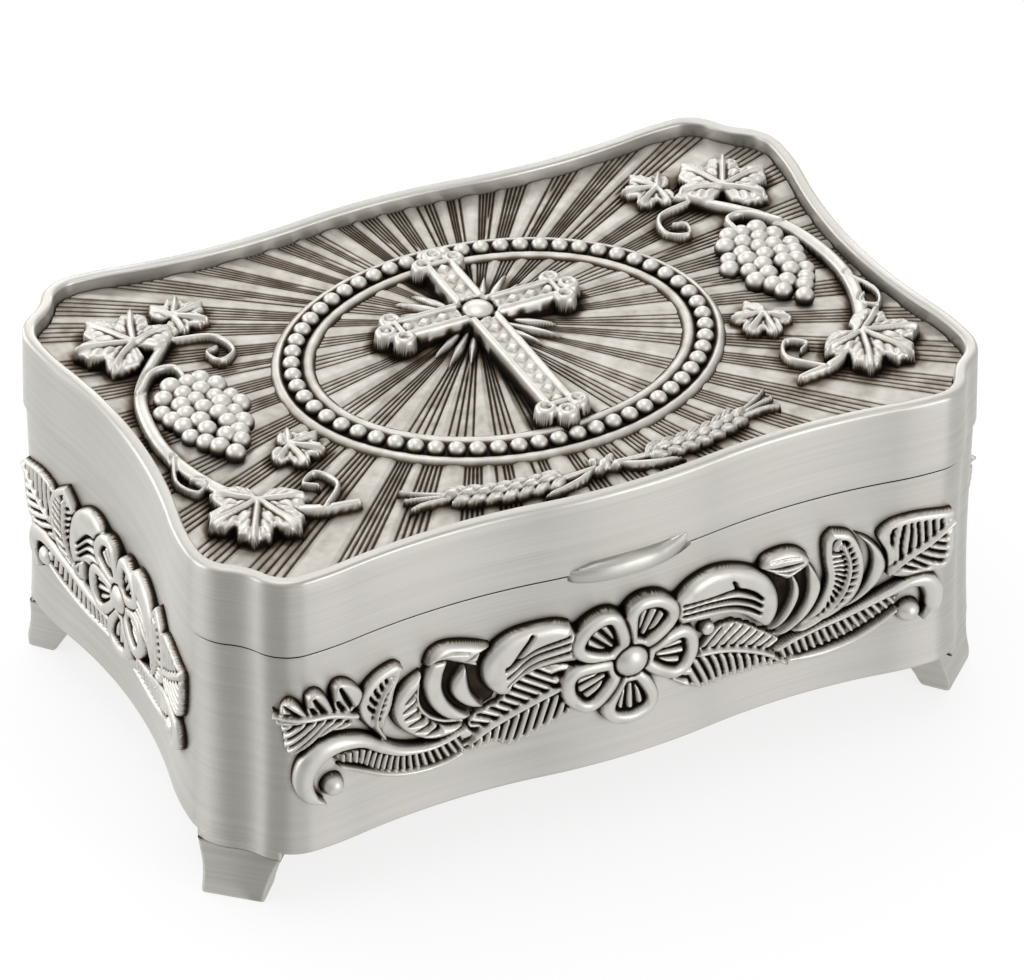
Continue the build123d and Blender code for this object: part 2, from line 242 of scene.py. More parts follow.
def wall_mesh(profile):
    """Points, quads and length along the plan for a profile carried all the way round."""
    index = np.arange(len(PLAN))
    return swept(index, profile), grid_faces(len(PLAN), len(profile), True), np.repeat(PLAN_RUN, len(profile))


def strip_mesh(index, profile):
    """Points and faces of a profile carried along a stretch of the plan and closed at both ends."""
    count = len(profile)
    faces = [tuple(q) for q in grid_faces(len(index), count)]
    faces += [tuple(range(count)), tuple((len(index) - 1) * count + k for k in range(count))[::-1]]
    return swept(index, profile), faces


def flat_plate(name, edge, top, bottom, faces, slot):
    """A plain plate of the lid. Its faces count the points of its top, then those of its bottom."""
    co = np.concatenate([at_height(edge, top), at_height(edge, bottom)])
    mesh_object(name, co, faces, "lid", slot, np.full(len(co), 0.3), np.zeros(len(co)), smooth=False)


# ================================================================ relief
def spline(points, steps=SPLINE_STEPS):
    """A smooth line through points."""
    p = np.array(points, float)
    p = np.concatenate([[2 * p[0] - p[1]], p, [2 * p[-1] - p[-2]]])
    t = np.linspace(0, 1, steps, endpoint=False)[:, None]
    out = []
    for a, b, c, d in zip(p[:-3], p[1:-2], p[2:-1], p[3:]):
        out.append(0.5 * (2 * b + (c - a) * t + (2 * a - 5 * b + 4 * c - d) * t ** 2
                          + (3 * b - a - 3 * c + d) * t ** 3))
    return np.concatenate(out + [p[-2:-1]])


def loop(*runs):
    """A closed outline of smooth runs that meet in corners. One run alone closes smoothly."""
    if len(runs) == 1:
        p = list(runs[0])
        return spline(p[-3:] + p + p[:3])[3 * SPLINE_STEPS:1 - 3 * SPLINE_STEPS]
    return np.concatenate([spline(run)[:-1] for run in runs])


def widths_along(line, points, widths, along):
    """Widths between the given ones, which stand at the points, or evenly spaced where their counts differ."""
    run = lengths(line)
    marks = run[::SPLINE_STEPS] if len(widths) == len(points) else np.linspace(0, run[-1], len(widths))
    return np.interp(along, marks, widths)


def circle(x, y, radius, count=36):
    """Points round a circle."""
    angle = np.linspace(0, 2 * pi, count, endpoint=False)
    return np.stack([x + radius * np.cos(angle), y + radius * np.sin(angle)], axis=1)


def nearest(line, u, v):
    """Distance to a line, length along it to the nearest point, and which side (left above 0)."""
    best = np.full(u.shape, 1e9)
    along = np.zeros(u.shape)
    side = np.ones(u.shape)
    run = 0.0
    for (x0, y0), (x1, y1) in zip(line[:-1], line[1:]):
        dx, dy = x1 - x0, y1 - y0
        length = max(np.hypot(dx, dy), 1e-9)
        t = np.clip(((u - x0) * dx + (v - y0) * dy) / length ** 2, 0, 1)
        ex, ey = u - x0 - t * dx, v - y0 - t * dy
        distance = ex * ex + ey * ey
        closer = distance < best
        best = np.where(closer, distance, best)
        along = np.where(closer, run + t * length, along)
        side = np.where(closer, np.where(dx * ey - dy * ex > 0, 1.0, -1.0), side)
        run += length
    return np.sqrt(best), along, side


def depth_inside(outline, u, v):
    """Distance to a closed outline, above 0 inside it."""
    closed = np.concatenate([outline, outline[:1]])
    distance = nearest(closed, u, v)[0]
    inside = np.zeros(u.shape, bool)
    for (x0, y0), (x1, y1) in zip(closed[:-1], closed[1:]):
        if y0 == y1:
            continue
        crosses = ((y0 > v) != (y1 > v)) & (u < x0 + (x1 - x0) * (v - y0) / (y1 - y0))
        inside ^= crosses
    return np.where(inside, distance, -distance)


def ease(x):
    """A soft step from 0 to 1, while x goes from 0 to 1."""
    x = np.clip(x, 0, 1)
    return x * x * (3 - 2 * x)


def dome(x):
    """1 in the middle of a rounded form, 0 at its edge, where x is 1."""
    return np.sqrt(np.clip(1 - x * x, 0, 1))


def rolled(depth, width):
    """Height across a form with a rolled edge: 0 at the edge, 1 from a width inside it."""
    return dome(1 - np.clip(depth / width, 0, 1))


def bell(x, width):
    """1 where x is 0, falling off softly over a width to each side."""
    return np.exp(-(x / width) ** 2)


def bars(phase, sharp=0.9):
    """Rounded ridges with grooves between them: 1 on a ridge, 0 in a groove."""
    return np.abs(np.sin(pi * phase)) ** sharp


class Relief:
    """Heights in millimetres over a flat drawing; what is under the surface is left out of the mesh."""

    EMPTY = -0.3            # height where nothing is drawn
    SHOWN = -0.12           # a face is kept where one of its corners is above this

    def __init__(self, u0, u1, v0, v1, step):
        self.u = np.linspace(u0, u1, round((u1 - u0) / step) + 1)
        self.v = np.linspace(v0, v1, round((v1 - v0) / step) + 1)
        self.step = step
        self.height = np.full((len(self.u), len(self.v)), self.EMPTY)

    def window(self, points, pad=1.2):
        """The part of the drawing round some points."""
        low, high = points.min(0) - pad, points.max(0) + pad
        i = slice(*np.searchsorted(self.u, (low[0], high[0])))
        j = slice(*np.searchsorted(self.v, (low[1], high[1])))
        u, v = np.meshgrid(self.u[i], self.v[j], indexing="ij")
        return (i, j), u, v

    def traced(self, points, widths, pad=1.2):
        """The part of the drawing round a smooth line, with the way to the line, and its width there."""
        line = spline(points)
        place, u, v = self.window(line, max(widths) + pad)
        away, along, side = nearest(line, u, v)
        return place, away, along, side, widths_along(line, points, widths, along)

    def lay(self, place, depth, layer, edge=0.42):
        """Lay a form over what is there. It covers the drawing where depth, from its edge, is above 0."""
        cover = ease(depth / edge + 0.5)
        self.height[place] = self.height[place] * (1 - cover) + layer * cover

    def leaf(self, outline, height, rounding=0.8):
        """A smooth form with a rounded edge."""
        place, u, v = self.window(outline)
        depth = depth_inside(outline, u, v)
        self.lay(place, depth, height - height * 0.7 * (1 - rolled(depth, rounding)))

    def feather(self, outline, rib, height, pitch, slant=0.9, rib_width=0.42, lobes=0.3, plain=0.0):
        """A leaf with barbs that slant away from a midrib, inside a plain edge."""
        place, u, v = self.window(outline)
        depth = depth_inside(outline, u, v)
        away, along, side = nearest(spline(rib), u, v)
        ridge = bars((along - slant * away) / pitch + 0.25 * side)
        depth = depth - lobes * (1 - ridge) * ease(away / 1.5)
        fade = ease((depth - plain) / 0.5) * ease((away - rib_width) / 0.3 + 0.5)
        layer = height * (0.62 + 0.38 * rolled(depth, 1.4)) - (1 - ridge) * fade
        layer -= 0.3 * bell(away - rib_width * 1.4, 0.22)
        layer = np.maximum(layer, (height + 0.25) * (0.3 + 0.7 * dome(away / rib_width)) * (away < rib_width))
        self.lay(place, depth, layer)

    def stroke(self, points, widths, height, lean=0.0):
        """A rounded rib that changes width along its way. Lean makes one side the higher."""
        place, away, _, side, width = self.traced(points, widths)
        x = away / width
        layer = height * (0.3 + 0.7 * dome(x)) * (1 + lean * side * np.clip(x, 0, 1))
        self.lay(place, width - away, layer, 0.38)

    def groove(self, points, widths, depth):
        """A soft cut along a line."""
        place, away, _, _, width = self.traced(points, widths, 0.6)
        self.height[place] -= depth * np.exp(-(away / np.maximum(width, 0.02)) ** 2 * 1.5)

    def band(self, points, widths, height, pitch, slant, groove=0.85):
        """A flat band crossed by slanting bars."""
        place, away, along, side, width = self.traced(points, widths)
        ridge = bars((along + slant * side * away) / pitch, 1.0)
        self.lay(place, width - away, height - groove * (1 - ridge), 0.25)

    def ball(self, x, y, radius, height, base=0.0):
        """A ball that rises from a base height."""
        place, u, v = self.window(circle(x, y, radius))
        away = np.hypot(u - x, v - y)
        self.lay(place, radius - away, base + (height - base) * dome(away / radius), 0.2)

    def dent(self, x, y, radius, depth):
        """A soft round hollow."""
        place, u, v = self.window(circle(x, y, radius))
        self.height[place] -= depth * np.exp(-((np.hypot(u - x, v - y) / radius) ** 2) * 2)

    def blurred(self, field, sigma):
        """A field of this drawing, softened over a distance in millimetres."""
        radius = int(3 * sigma / self.step) + 1
        x = np.arange(-radius, radius + 1) * self.step
        kernel = np.exp(-0.5 * (x / sigma) ** 2)
        kernel /= kernel.sum()
        field = np.pad(field, radius, mode="edge")
        for axis in (0, 1):
            field = np.apply_along_axis(np.convolve, axis, field, kernel, mode="valid")
        return field

    def shade(self):
        """How dark each point is: patina by how deep in a hollow it lies, in millimetres, and painted shade as well
        as patina low on the sides of the forms.
        """
        top = np.maximum(self.height, 0)
        hollow = 0.85 * (self.blurred(top, 0.28) - top) + 0.32 * (self.blurred(top, 0.9) - top)
        # Painted shade as well as patina: the low sides of every form, where it meets what it stands on, are
        # darkened.
        risen = np.clip(self.height / 0.8, 0, 1)
        risen = np.maximum(self.blurred(risen, 0.2), 0.8 * risen)
        return np.maximum(self.blurred(hollow, 0.1), 0.27 * ease((0.74 - risen) / 0.5))

    def shadow(self, u, v, sigma):
        """Height of the forms round other points, softened, and 0 outside the drawing."""
        field = self.blurred(np.maximum(self.height, 0), sigma)
        x = (np.asarray(u) - self.u[0]) / (self.u[1] - self.u[0])
        y = (np.asarray(v) - self.v[0]) / (self.v[1] - self.v[0])
        ok = (x >= 0) & (y >= 0) & (x < len(self.u) - 1) & (y < len(self.v) - 1)
        i = np.clip(x.astype(int), 0, len(self.u) - 2)
        j = np.clip(y.astype(int), 0, len(self.v) - 2)
        fx, fy = x - i, y - j
        value = (field[i, j] * (1 - fx) * (1 - fy) + field[i + 1, j] * fx * (1 - fy)
                 + field[i, j + 1] * (1 - fx) * fy + field[i + 1, j + 1] * fx * fy)
        return np.where(ok, value, 0)

    def mesh(self, name, carry, body):
        """The relief as a mesh. Carry turns (across, up, height) into a place on the box."""
        u, v = np.meshgrid(self.u, self.v, indexing="ij")
        co = carry(u.ravel(), v.ravel(), self.height.ravel())
        quads = grid_faces(*self.height.shape, wrap_columns=False)
        quads = quads[(self.height.ravel()[quads] > self.SHOWN).any(axis=1)]
        used = np.unique(quads)
        renumber = np.zeros(self.height.size, int)
        renumber[used] = np.arange(len(used))
        return mesh_object(name, co[used], renumber[quads], body, "antique_pewter",
                           self.shade().ravel()[used], u.ravel()[used])


# ================================================================ carriers
def flare(z):
    """How far the base's walls stand out towards their lower edge."""
    return FLARE * np.clip((FLARE_TOP - np.asarray(z, float)) / (FLARE_TOP - FOOT_HEIGHT), 0, 1) ** 2


def wall_carrier(short, flip):
    """Carries a drawing onto the front or the left wall, or with flip -1 onto the wall across from it."""
    p, n = wall_line(short)
    shift, relief = (SIDE_SHIFT, SIDE_RELIEF) if short else (MOUNT_SHIFT, 1)

    def carry(u, v, height):
        along, z = u + shift, v + FLOWER_HEIGHT
        height = height * relief + flare(z)
        out, aside, ahead = (np.interp(np.abs(along), p[:, 0], value) for value in (p[:, 1], n[:, 0], n[:, 1]))
        aside = along + aside * np.sign(along) * height
        out = np.minimum(out + ahead * height, REACH)
        place = [-flip * out, -flip * aside] if short else [flip * aside, -flip * out]
        return np.stack(place + [z], axis=1)

    return carry


def lid_carrier(flip=1):
    """Carries a drawing onto the plaque's ground, or with flip -1 its mirror image."""
    def carry(u, v, height):
        return np.stack([flip * u, v, GROUND + height], axis=1)

    return carry


# ================================================================ materials
class Wires:
    """Short calls for building a node tree."""

    def __init__(self, tree):
        self.tree = tree
        tree.nodes.clear()

    def node(self, kind, **settings):
        """A new node with its settings."""
        node = self.tree.nodes.new(kind)
        for key, value in settings.items():
            setattr(node, key, value)
        return node

    def put(self, socket, value):
        """Join another node's output to a socket, or set the socket's own value."""
        if isinstance(value, bpy.types.NodeSocket):
            self.tree.links.new(value, socket)
        else:
            socket.default_value = value

    def fed(self, kind, values, **settings):
        """A node whose inputs are filled from a list in their order, or by name."""
        node = self.node(kind, **settings)
        self.fill(node, values if isinstance(values, dict) else dict(enumerate(values)))
        return node

    def fill(self, node, values):
        """Fill a node's inputs by name or number."""
        for key, value in values.items():
            self.put(node.inputs[key], value)

    def math(self, operation, *values):
        return self.fed("ShaderNodeMath", values, operation=operation).outputs[0]

    def plus(self, a, b):
        return self.math("ADD", a, b)

    def minus(self, a, b):
        return self.math("SUBTRACT", a, b)

    def times(self, a, b):
        return self.math("MULTIPLY", a, b)

    def attribute(self, name):
        return self.node("ShaderNodeAttribute", attribute_name=name).outputs["Fac"]

    def place(self, space="Object"):
        return self.node("ShaderNodeTexCoord").outputs[space]

    def axes(self, space="Object"):
        return self.fed("ShaderNodeSeparateXYZ", [self.place(space)]).outputs

    def noise(self, vector, scale, detail=2.0):
        return self.fed("ShaderNodeTexNoise", {"Vector": vector, "Scale": scale, "Detail": detail}).outputs["Fac"]

    def lines(self, along, length, across, density, detail=2.0, layer=0):
        """Noise drawn out into fine lines."""
        vector = self.fed("ShaderNodeCombineXYZ", (self.times(along, length), self.times(across, density), layer))
        return self.noise(vector.outputs[0], 1.0, detail)

    def ramp(self, value, low, high, to_low=0.0, to_high=1.0):
        return self.fed("ShaderNodeMapRange", (value, low, high, to_low, to_high), clamp=True).outputs[0]

    def mixed(self, factor, a, b):
        return self.fed("ShaderNodeMixShader", (factor, a, b)).outputs[0]

    def blend(self, factor, a, b):
        """A colour between two; a Mix node keeps its colours at sockets 6 and 7."""
        return self.fed("ShaderNodeMix", {0: factor, 6: a, 7: b}, data_type="RGBA").outputs[2]

    def bump(self, height, strength, distance):
        values = {"Strength": strength, "Distance": distance, "Height": height}
        return self.fed("ShaderNodeBump", values).outputs[0]


def node_material(name):
    """A new material, the wires of its tree and its shader."""
    material = bpy.data.materials.new(name)
    material.use_nodes = True
    w = Wires(material.node_tree)
    shader = w.node("ShaderNodeBsdfPrincipled")
    w.fed("ShaderNodeOutputMaterial", [shader.outputs[0]])
    return material, w, shader


def grey(value):
    """A neutral colour."""
    return (value, value, value, 1)


PEWTER = (0.53, 0.518, 0.483, 1)
PEWTER_LINE = (0.41, 0.40, 0.37, 1)
RUBBED = (0.60, 0.585, 0.548, 1)
# Patina colours of the castings; they also carry painted shade and shadow wherever the hollow attribute marks it.
PATINA_AND_SHADE = (0.014, 0.011, 0.009, 1)
PATINA_AND_SHADE_EDGE = (0.145, 0.105, 0.068, 1)
PILE_DARK = (0.006, 0.006, 0.009, 1)
PILE_LIGHT = (0.014, 0.013, 0.018, 1)
PILE_SHEEN = (0.35, 0.36, 0.45, 1)
STEEL_DARK = (0.5, 0.49, 0.47, 1)
STEEL_LIGHT = (0.62, 0.61, 0.59, 1)


def satin_pewter():
    """Brushed walls: fine lines run round the box; patina and painted shade sit against the mounts, and painted
    shadow under the seam and at the collars.
    """
    material, w, shader = node_material("satin_pewter_finish")
    along, height = w.attribute("along"), w.axes()[2]
    fine = w.lines(along, 0.05, height, 9000, 3.0)
    broad = w.lines(along, 0.02, height, 900, layer=3)
    streak = w.plus(w.times(fine, 0.6), w.times(broad, 0.4))
    # Patina and painted shade, from the hollow attribute.
    dark = w.ramp(w.attribute("hollow"), 0.12, 0.85)
    colour = w.blend(w.ramp(streak, 0.32, 0.68, 0.0, 0.75), PEWTER, PEWTER_LINE)
    colour = w.blend(dark, colour, PATINA_AND_SHADE_EDGE)
    w.fill(shader, {
        "Base Color": w.blend(w.ramp(dark, 0.4, 1.0), colour, PATINA_AND_SHADE),
        "Metallic": 1.0,
        "Roughness": w.ramp(streak, 0.3, 0.7, 0.34, 0.46),
        "Anisotropic": 0.8,
        "Anisotropic Rotation": 0.25,
        "Tangent": w.node("ShaderNodeTangent", direction_type="RADIAL", axis="Z").outputs[0],
        "Normal": w.bump(w.plus(streak, w.times(w.noise(w.place(), 2600), 0.35)), 0.25, 0.00003),
    })
    return material


def antique_pewter():
    """Cast relief: bright where it is rubbed, near black where the patina stays and where shade is painted in at the
    foot of the forms.
    """
    material, w, shader = node_material("antique_pewter_finish")
    patchy, grain = w.noise(w.place(), 420, 3.0), w.noise(w.place(), 2200, 3.0)
    # Patina and painted shade from the hollow attribute, with random patches.
    wear_and_shade = w.plus(w.attribute("hollow"), w.times(w.minus(patchy, 0.5), 0.10))
    colour = w.blend(w.ramp(wear_and_shade, 0.0, 0.14), RUBBED, PATINA_AND_SHADE_EDGE)
    w.fill(shader, {
        "Base Color": w.blend(w.ramp(wear_and_shade, 0.06, 0.24), colour, PATINA_AND_SHADE),
        "Metallic": 1.0,
        "Roughness": w.ramp(wear_and_shade, -0.1, 0.2, 0.34, 0.62),
        "Normal": w.bump(w.plus(grain, patchy), 0.2, 0.00004),
    })
    return material


def velvet():
    """Dark velvet with a faint sheen."""
    material, w, shader = node_material("velvet_finish")
    pile, nap = w.noise(w.place(), 3500, 3.0), w.noise(w.place(), 120, 3.0)
    w.fill(shader, {
        "Base Color": w.blend(w.ramp(nap, 0.3, 0.7), PILE_DARK, PILE_LIGHT),
        "Roughness": 0.95,
        "Sheen Weight": 0.6,
        "Sheen Roughness": 0.4,
        "Sheen Tint": PILE_SHEEN,
        "Normal": w.bump(pile, 0.5, 0.0002),
    })
    return material


def drawn_steel():
    """The hinge pin, with lines along it."""
    material, w, shader = node_material("drawn_steel_finish")
    axes = w.axes()
    lines = w.lines(axes[0], 60, axes[1], 3000)
    w.fill(shader, {
        "Base Color": w.blend(lines, STEEL_DARK, STEEL_LIGHT),
        "Metallic": 1.0,
        "Roughness": w.ramp(lines, 0.3, 0.7, 0.22, 0.36),
    })
    return material


FINISH = {"satin_pewter": satin_pewter(), "antique_pewter": antique_pewter(), "velvet": velvet()}


# ================================================================ drawings of the mounts
def spun(points, turn, size=1.0, x=0.0, y=0.0):
    """Points turned, scaled and moved to a place."""
    c, s = cos(radians(turn)), sin(radians(turn))
    return [(x + size * (a * c - b * s), y + size * (a * s + b * c)) for a, b in points]


PETAL = [(0.16, 0.14), (0.42, 0.33), (0.70, 0.41), (0.91, 0.29), (1.0, 0.0),
         (0.91, -0.29), (0.70, -0.41), (0.42, -0.33), (0.16, -0.14)]


def flower(relief, turns, reach, boss, boss_height, petal_height):
    """Petals with broad rims and ribbed cups, round a ball."""
    rim = 0.17 * reach
    for turn in turns:
        outline = loop(spun(PETAL, turn, reach))
        place, u, v = relief.window(outline)
        depth = depth_inside(outline, u, v)
        c, s = cos(radians(turn)), sin(radians(turn))
        out, across = (u * c + v * s) / reach, (v * c - u * s) / reach
        layer = petal_height * (0.45 + 0.55 * dome(np.clip(depth / (0.62 * rim) - 1, -1, 1)))
        cup = ease((depth - rim) / (0.3 * rim))
        ridge = bars(np.arctan2(across, out + 0.25) / radians(8.5) + 0.5, 1.0)
        bed = petal_height * (0.30 + 0.40 * ridge * ease((depth - 1.15 * rim) / (0.3 * rim)))
        relief.lay(place, depth, layer * (1 - cup) + bed * cup, 0.3)
    relief.dent(0, 0, boss * 1.4, 0.45 * petal_height)
    relief.ball(0, 0, boss, boss_height, 0.25 * boss_height)


def left_spray(r):
    """Long mount, left of the flower, from the lowest layer up."""
    # feather leaf under the shell leaf
    r.feather(loop([(-8.8, -2.0), (-8.0, -0.6), (-7.0, 1.2)],
                   [(-7.0, 1.2), (-8.6, 1.7), (-11.5, 1.9), (-14.6, 0.5), (-16.6, -1.8), (-19.2, -2.6), (-20.5, -3.4),
                    (-20.5, -4.6), (-19.2, -5.1)],
                   [(-19.2, -5.1), (-20.4, -5.6), (-21.4, -6.6), (-21.4, -7.9), (-20.0, -8.4), (-17.4, -7.9),
                    (-16.2, -8.5), (-14.6, -8.9), (-12.0, -8.0), (-9.0, -6.8), (-7.4, -5.6), (-8.8, -2.0)]),
              [(-20.9, -7.0), (-18, -5.4), (-15.2, -4.3), (-9.0, -2.0)], 1.25, 1.35, slant=-0.75, lobes=0.25)
    # end leaf: barbs below its rib and three ribbed lobes above it
    r.feather(loop([(-36.0, 3.4), (-36.4, 1.7), (-39.4, 1.9), (-41.6, 1.0), (-43.7, -0.6)],
                   [(-43.7, -0.6), (-44.3, 1.2), (-44.5, 3.6), (-45.3, 6.2)],
                   [(-45.3, 6.2), (-44.0, 5.3), (-41.5, 5.3), (-39.0, 4.9), (-36.0, 3.4)]),
              [(-36.2, 3.1), (-39.2, 4.5), (-41.5, 4.9), (-44.8, 4.9)], 1.3, 1.35, slant=1.1, lobes=0.1)
    for lobe, lines in (
        ([(-36.6, 3.9), (-35.6, 4.6), (-34.9, 6.2), (-35.8, 7.8), (-37.0, 8.8), (-38.2, 9.0), (-38.9, 8.0),
          (-38.8, 6.2), (-38.4, 4.6)],
         ([(-38.0, 8.2), (-37.2, 6.4), (-36.4, 4.6)], [(-38.3, 6.4), (-38.0, 5.6), (-37.5, 4.8)])),
        ([(-38.9, 4.7), (-39.2, 6.6), (-40.0, 8.2), (-41.1, 8.8), (-42.0, 8.2), (-42.1, 6.8), (-41.6, 5.0)],
         ([(-41.3, 7.8), (-40.6, 6.4), (-39.9, 5.1)], [(-41.6, 6.6), (-41.3, 5.9), (-40.9, 5.2)])),
        ([(-41.9, 5.0), (-42.2, 6.3), (-42.9, 7.5), (-43.8, 8.0), (-44.5, 7.2), (-44.6, 6.0), (-44.2, 5.2)],
         ([(-44.0, 7.2), (-43.4, 6.2), (-42.7, 5.4)], [(-44.1, 6.1), (-43.9, 5.7), (-43.6, 5.3)]))):
        r.leaf(loop(lobe), 1.6, 0.7)
        for line in lines:
            r.groove(line, [0.2, 0.4, 0.4], 1.2)
    r.stroke([(-35.9, 3.2), (-39.0, 4.6), (-41.5, 5.0), (-45.0, 5.6)], [0.45, 0.5, 0.45, 0.2], 1.65)
    # crescents between the upright leaf and the bud, on a sunken plate
    r.leaf(loop([(-20.0, -3.0), (-25, -4.4), (-29.4, 0.6), (-27.0, 5.4), (-22.0, 7.0), (-17.6, 5.6), (-16.8, -1.2)]),
           0.3)
    # upright leaf
    r.feather(loop([(-32.0, -2.2), (-33.4, -0.3), (-34.9, 1.9), (-35.5, 4.2), (-34.7, 6.3), (-32.8, 7.8),
                    (-30.4, 8.4), (-29.2, 7.6)],
                   [(-29.2, 7.6), (-29.8, 6.2), (-30.5, 4.6), (-30.9, 2.6), (-31.8, 0.4), (-32.0, -2.2)]),
              [(-32.0, -1.8), (-33.2, 0.8), (-33.0, 2.8), (-32.2, 4.8), (-31.0, 6.4)], 1.55, 0.95, slant=0.6,
              lobes=0.0, plain=0.85, rib_width=0.34)
    # toothed crescent
    r.leaf(loop([(-26.7, 5.9), (-29.2, 4.7), (-30.6, 2.8), (-30.7, 0.6), (-29.8, -1.4), (-28.0, -3.2), (-25.6, -4.5),
                 (-23.0, -4.6), (-20.9, -3.6)],
                [(-20.9, -3.6), (-23.5, -3.1), (-25.2, -2.0), (-26.6, -0.3), (-27.2, 1.6), (-27.2, 3.4),
                 (-26.7, 5.9)]), 1.7, 1.0)
    for a, b in (((-29.2, 2.4), (-27.6, 3.2)), ((-29.5, 1.2), (-27.3, 1.9)), ((-29.3, 0.1), (-27.1, 0.4)),
                 ((-28.8, -1.1), (-26.7, -1.0)), ((-27.8, -2.3), (-25.8, -2.3)), ((-26.4, -3.4), (-24.7, -3.2))):
        r.groove([a, b], [0.16, 0.5], 1.4)
    r.stroke([(-27.2, 4.4), (-27.3, 1.6), (-26.3, -0.6), (-24.3, -2.2), (-21.4, -3.2)],
             [0.18, 0.3, 0.34, 0.34, 0.2], 1.2)
    r.leaf(loop([(-25.6, 6.9), (-26.5, 4.6), (-26.4, 2.6), (-25.6, 0.3), (-24.0, -1.8), (-21.8, -3.0), (-20.1, -2.8)],
                [(-20.1, -2.8), (-22.0, -1.2), (-23.3, 0.6), (-24.0, 2.6), (-23.9, 4.6), (-23.4, 6.6), (-25.6, 6.9)]),
           1.6, 0.8)
    r.leaf(loop([(-21.5, 4.6), (-22.7, 3.1), (-22.9, 1.4), (-22.0, -0.2), (-20.4, -1.5), (-18.4, -2.1)],
                [(-18.4, -2.1), (-19.4, -0.6), (-20.2, 0.8), (-20.6, 2.4), (-20.9, 4.6), (-21.5, 4.6)]), 1.7, 0.9)
    # bud
    r.leaf(loop([(-26.3, 6.3), (-25.6, 8.1), (-23.9, 8.8), (-21.6, 8.4), (-19.2, 7.5), (-17.5, 6.7)],
                [(-17.5, 6.7), (-19.0, 6.0), (-19.5, 4.3)],
                [(-19.5, 4.3), (-20.9, 5.0), (-22.6, 5.9), (-24.4, 6.7), (-26.3, 6.3)]), 1.85, 1.2)
    r.groove([(-25.4, 7.1), (-23.2, 7.6), (-20.8, 6.9)], [0.1, 0.2, 0.12], 0.5)
    r.groove([(-21.4, 5.6), (-19.8, 6.2), (-18.2, 6.6)], [0.1, 0.3, 0.1], 0.9)
    r.groove([(-21.0, 5.2), (-20.2, 5.3), (-19.4, 5.0)], [0.1, 0.24, 0.1], 0.8)
    # banded edge, rib and scroll
    r.band([(-38.0, -2.3), (-35.2, -3.2), (-32.6, -4.8), (-30.0, -6.2), (-27.0, -6.8), (-24.0, -6.6), (-21.4, -6.0)],
           [0.5, 1.0, 1.3, 1.3, 1.3, 1.4, 1.5], 1.15, 0.92, 0.25)
    r.stroke([(-37.9, -3.5), (-35.0, -5.3), (-32.0, -7.1), (-29.0, -8.2), (-26.0, -8.6), (-23.5, -8.4),
              (-21.4, -7.8)], [0.2, 0.34, 0.42, 0.45, 0.42, 0.36, 0.2], 1.4)
    r.stroke([(-40.2, -7.7), (-41.8, -6.6), (-42.5, -4.4), (-41.9, -1.9), (-40.4, -0.5), (-38.4, 0.0), (-36.2, -0.4),
              (-34.5, -1.2), (-32.3, -2.9), (-29.9, -4.4), (-26.8, -5.2), (-24.2, -5.1), (-21.0, -4.2)],
             [0.2, 0.85, 1.12, 1.4, 1.45, 1.2, 1.0, 0.9, 0.92, 0.75, 0.5, 0.4, 0.25], 1.85, lean=-0.12)
    r.groove([(-41.2, -5.4), (-41.2, -3.4), (-40.0, -1.7), (-38.0, -1.1)], [0.12, 0.3, 0.3, 0.1], 0.5)
    r.ball(-38.9, -5.9, 1.5, 2.0)
    # shell leaf: a broad smooth edge round folds that run to the flower
    r.leaf(loop([(-7.6, 7.3), (-9.4, 8.0), (-12.4, 8.1), (-15.2, 7.7), (-17.3, 6.5), (-18.7, 4.6), (-18.9, 2.6),
                 (-18.2, 0.8), (-16.8, -0.7), (-15.3, -0.9), (-14.8, 0.2)],
                [(-14.8, 0.2), (-12.4, 1.6), (-9.4, 2.0), (-6.6, 1.7)], [(-6.6, 1.7), (-6.4, 4.6), (-7.6, 7.3)]),
           2.05, 1.5)
    for line in ([(-12.6, 7.0), (-13.9, 5.2), (-15.0, 3.6), (-15.9, 3.3)],
                 [(-8.0, 5.8), (-11.8, 5.0), (-14.2, 3.7), (-15.9, 3.0)],
                 [(-8.0, 4.8), (-11.8, 4.1), (-14.0, 2.8), (-15.7, 1.9)],
                 [(-8.0, 3.6), (-11.8, 3.0), (-14.0, 1.7), (-15.6, 0.6)]):
        r.groove(line, [0.3, 0.34, 0.38, 0.2], 1.15)


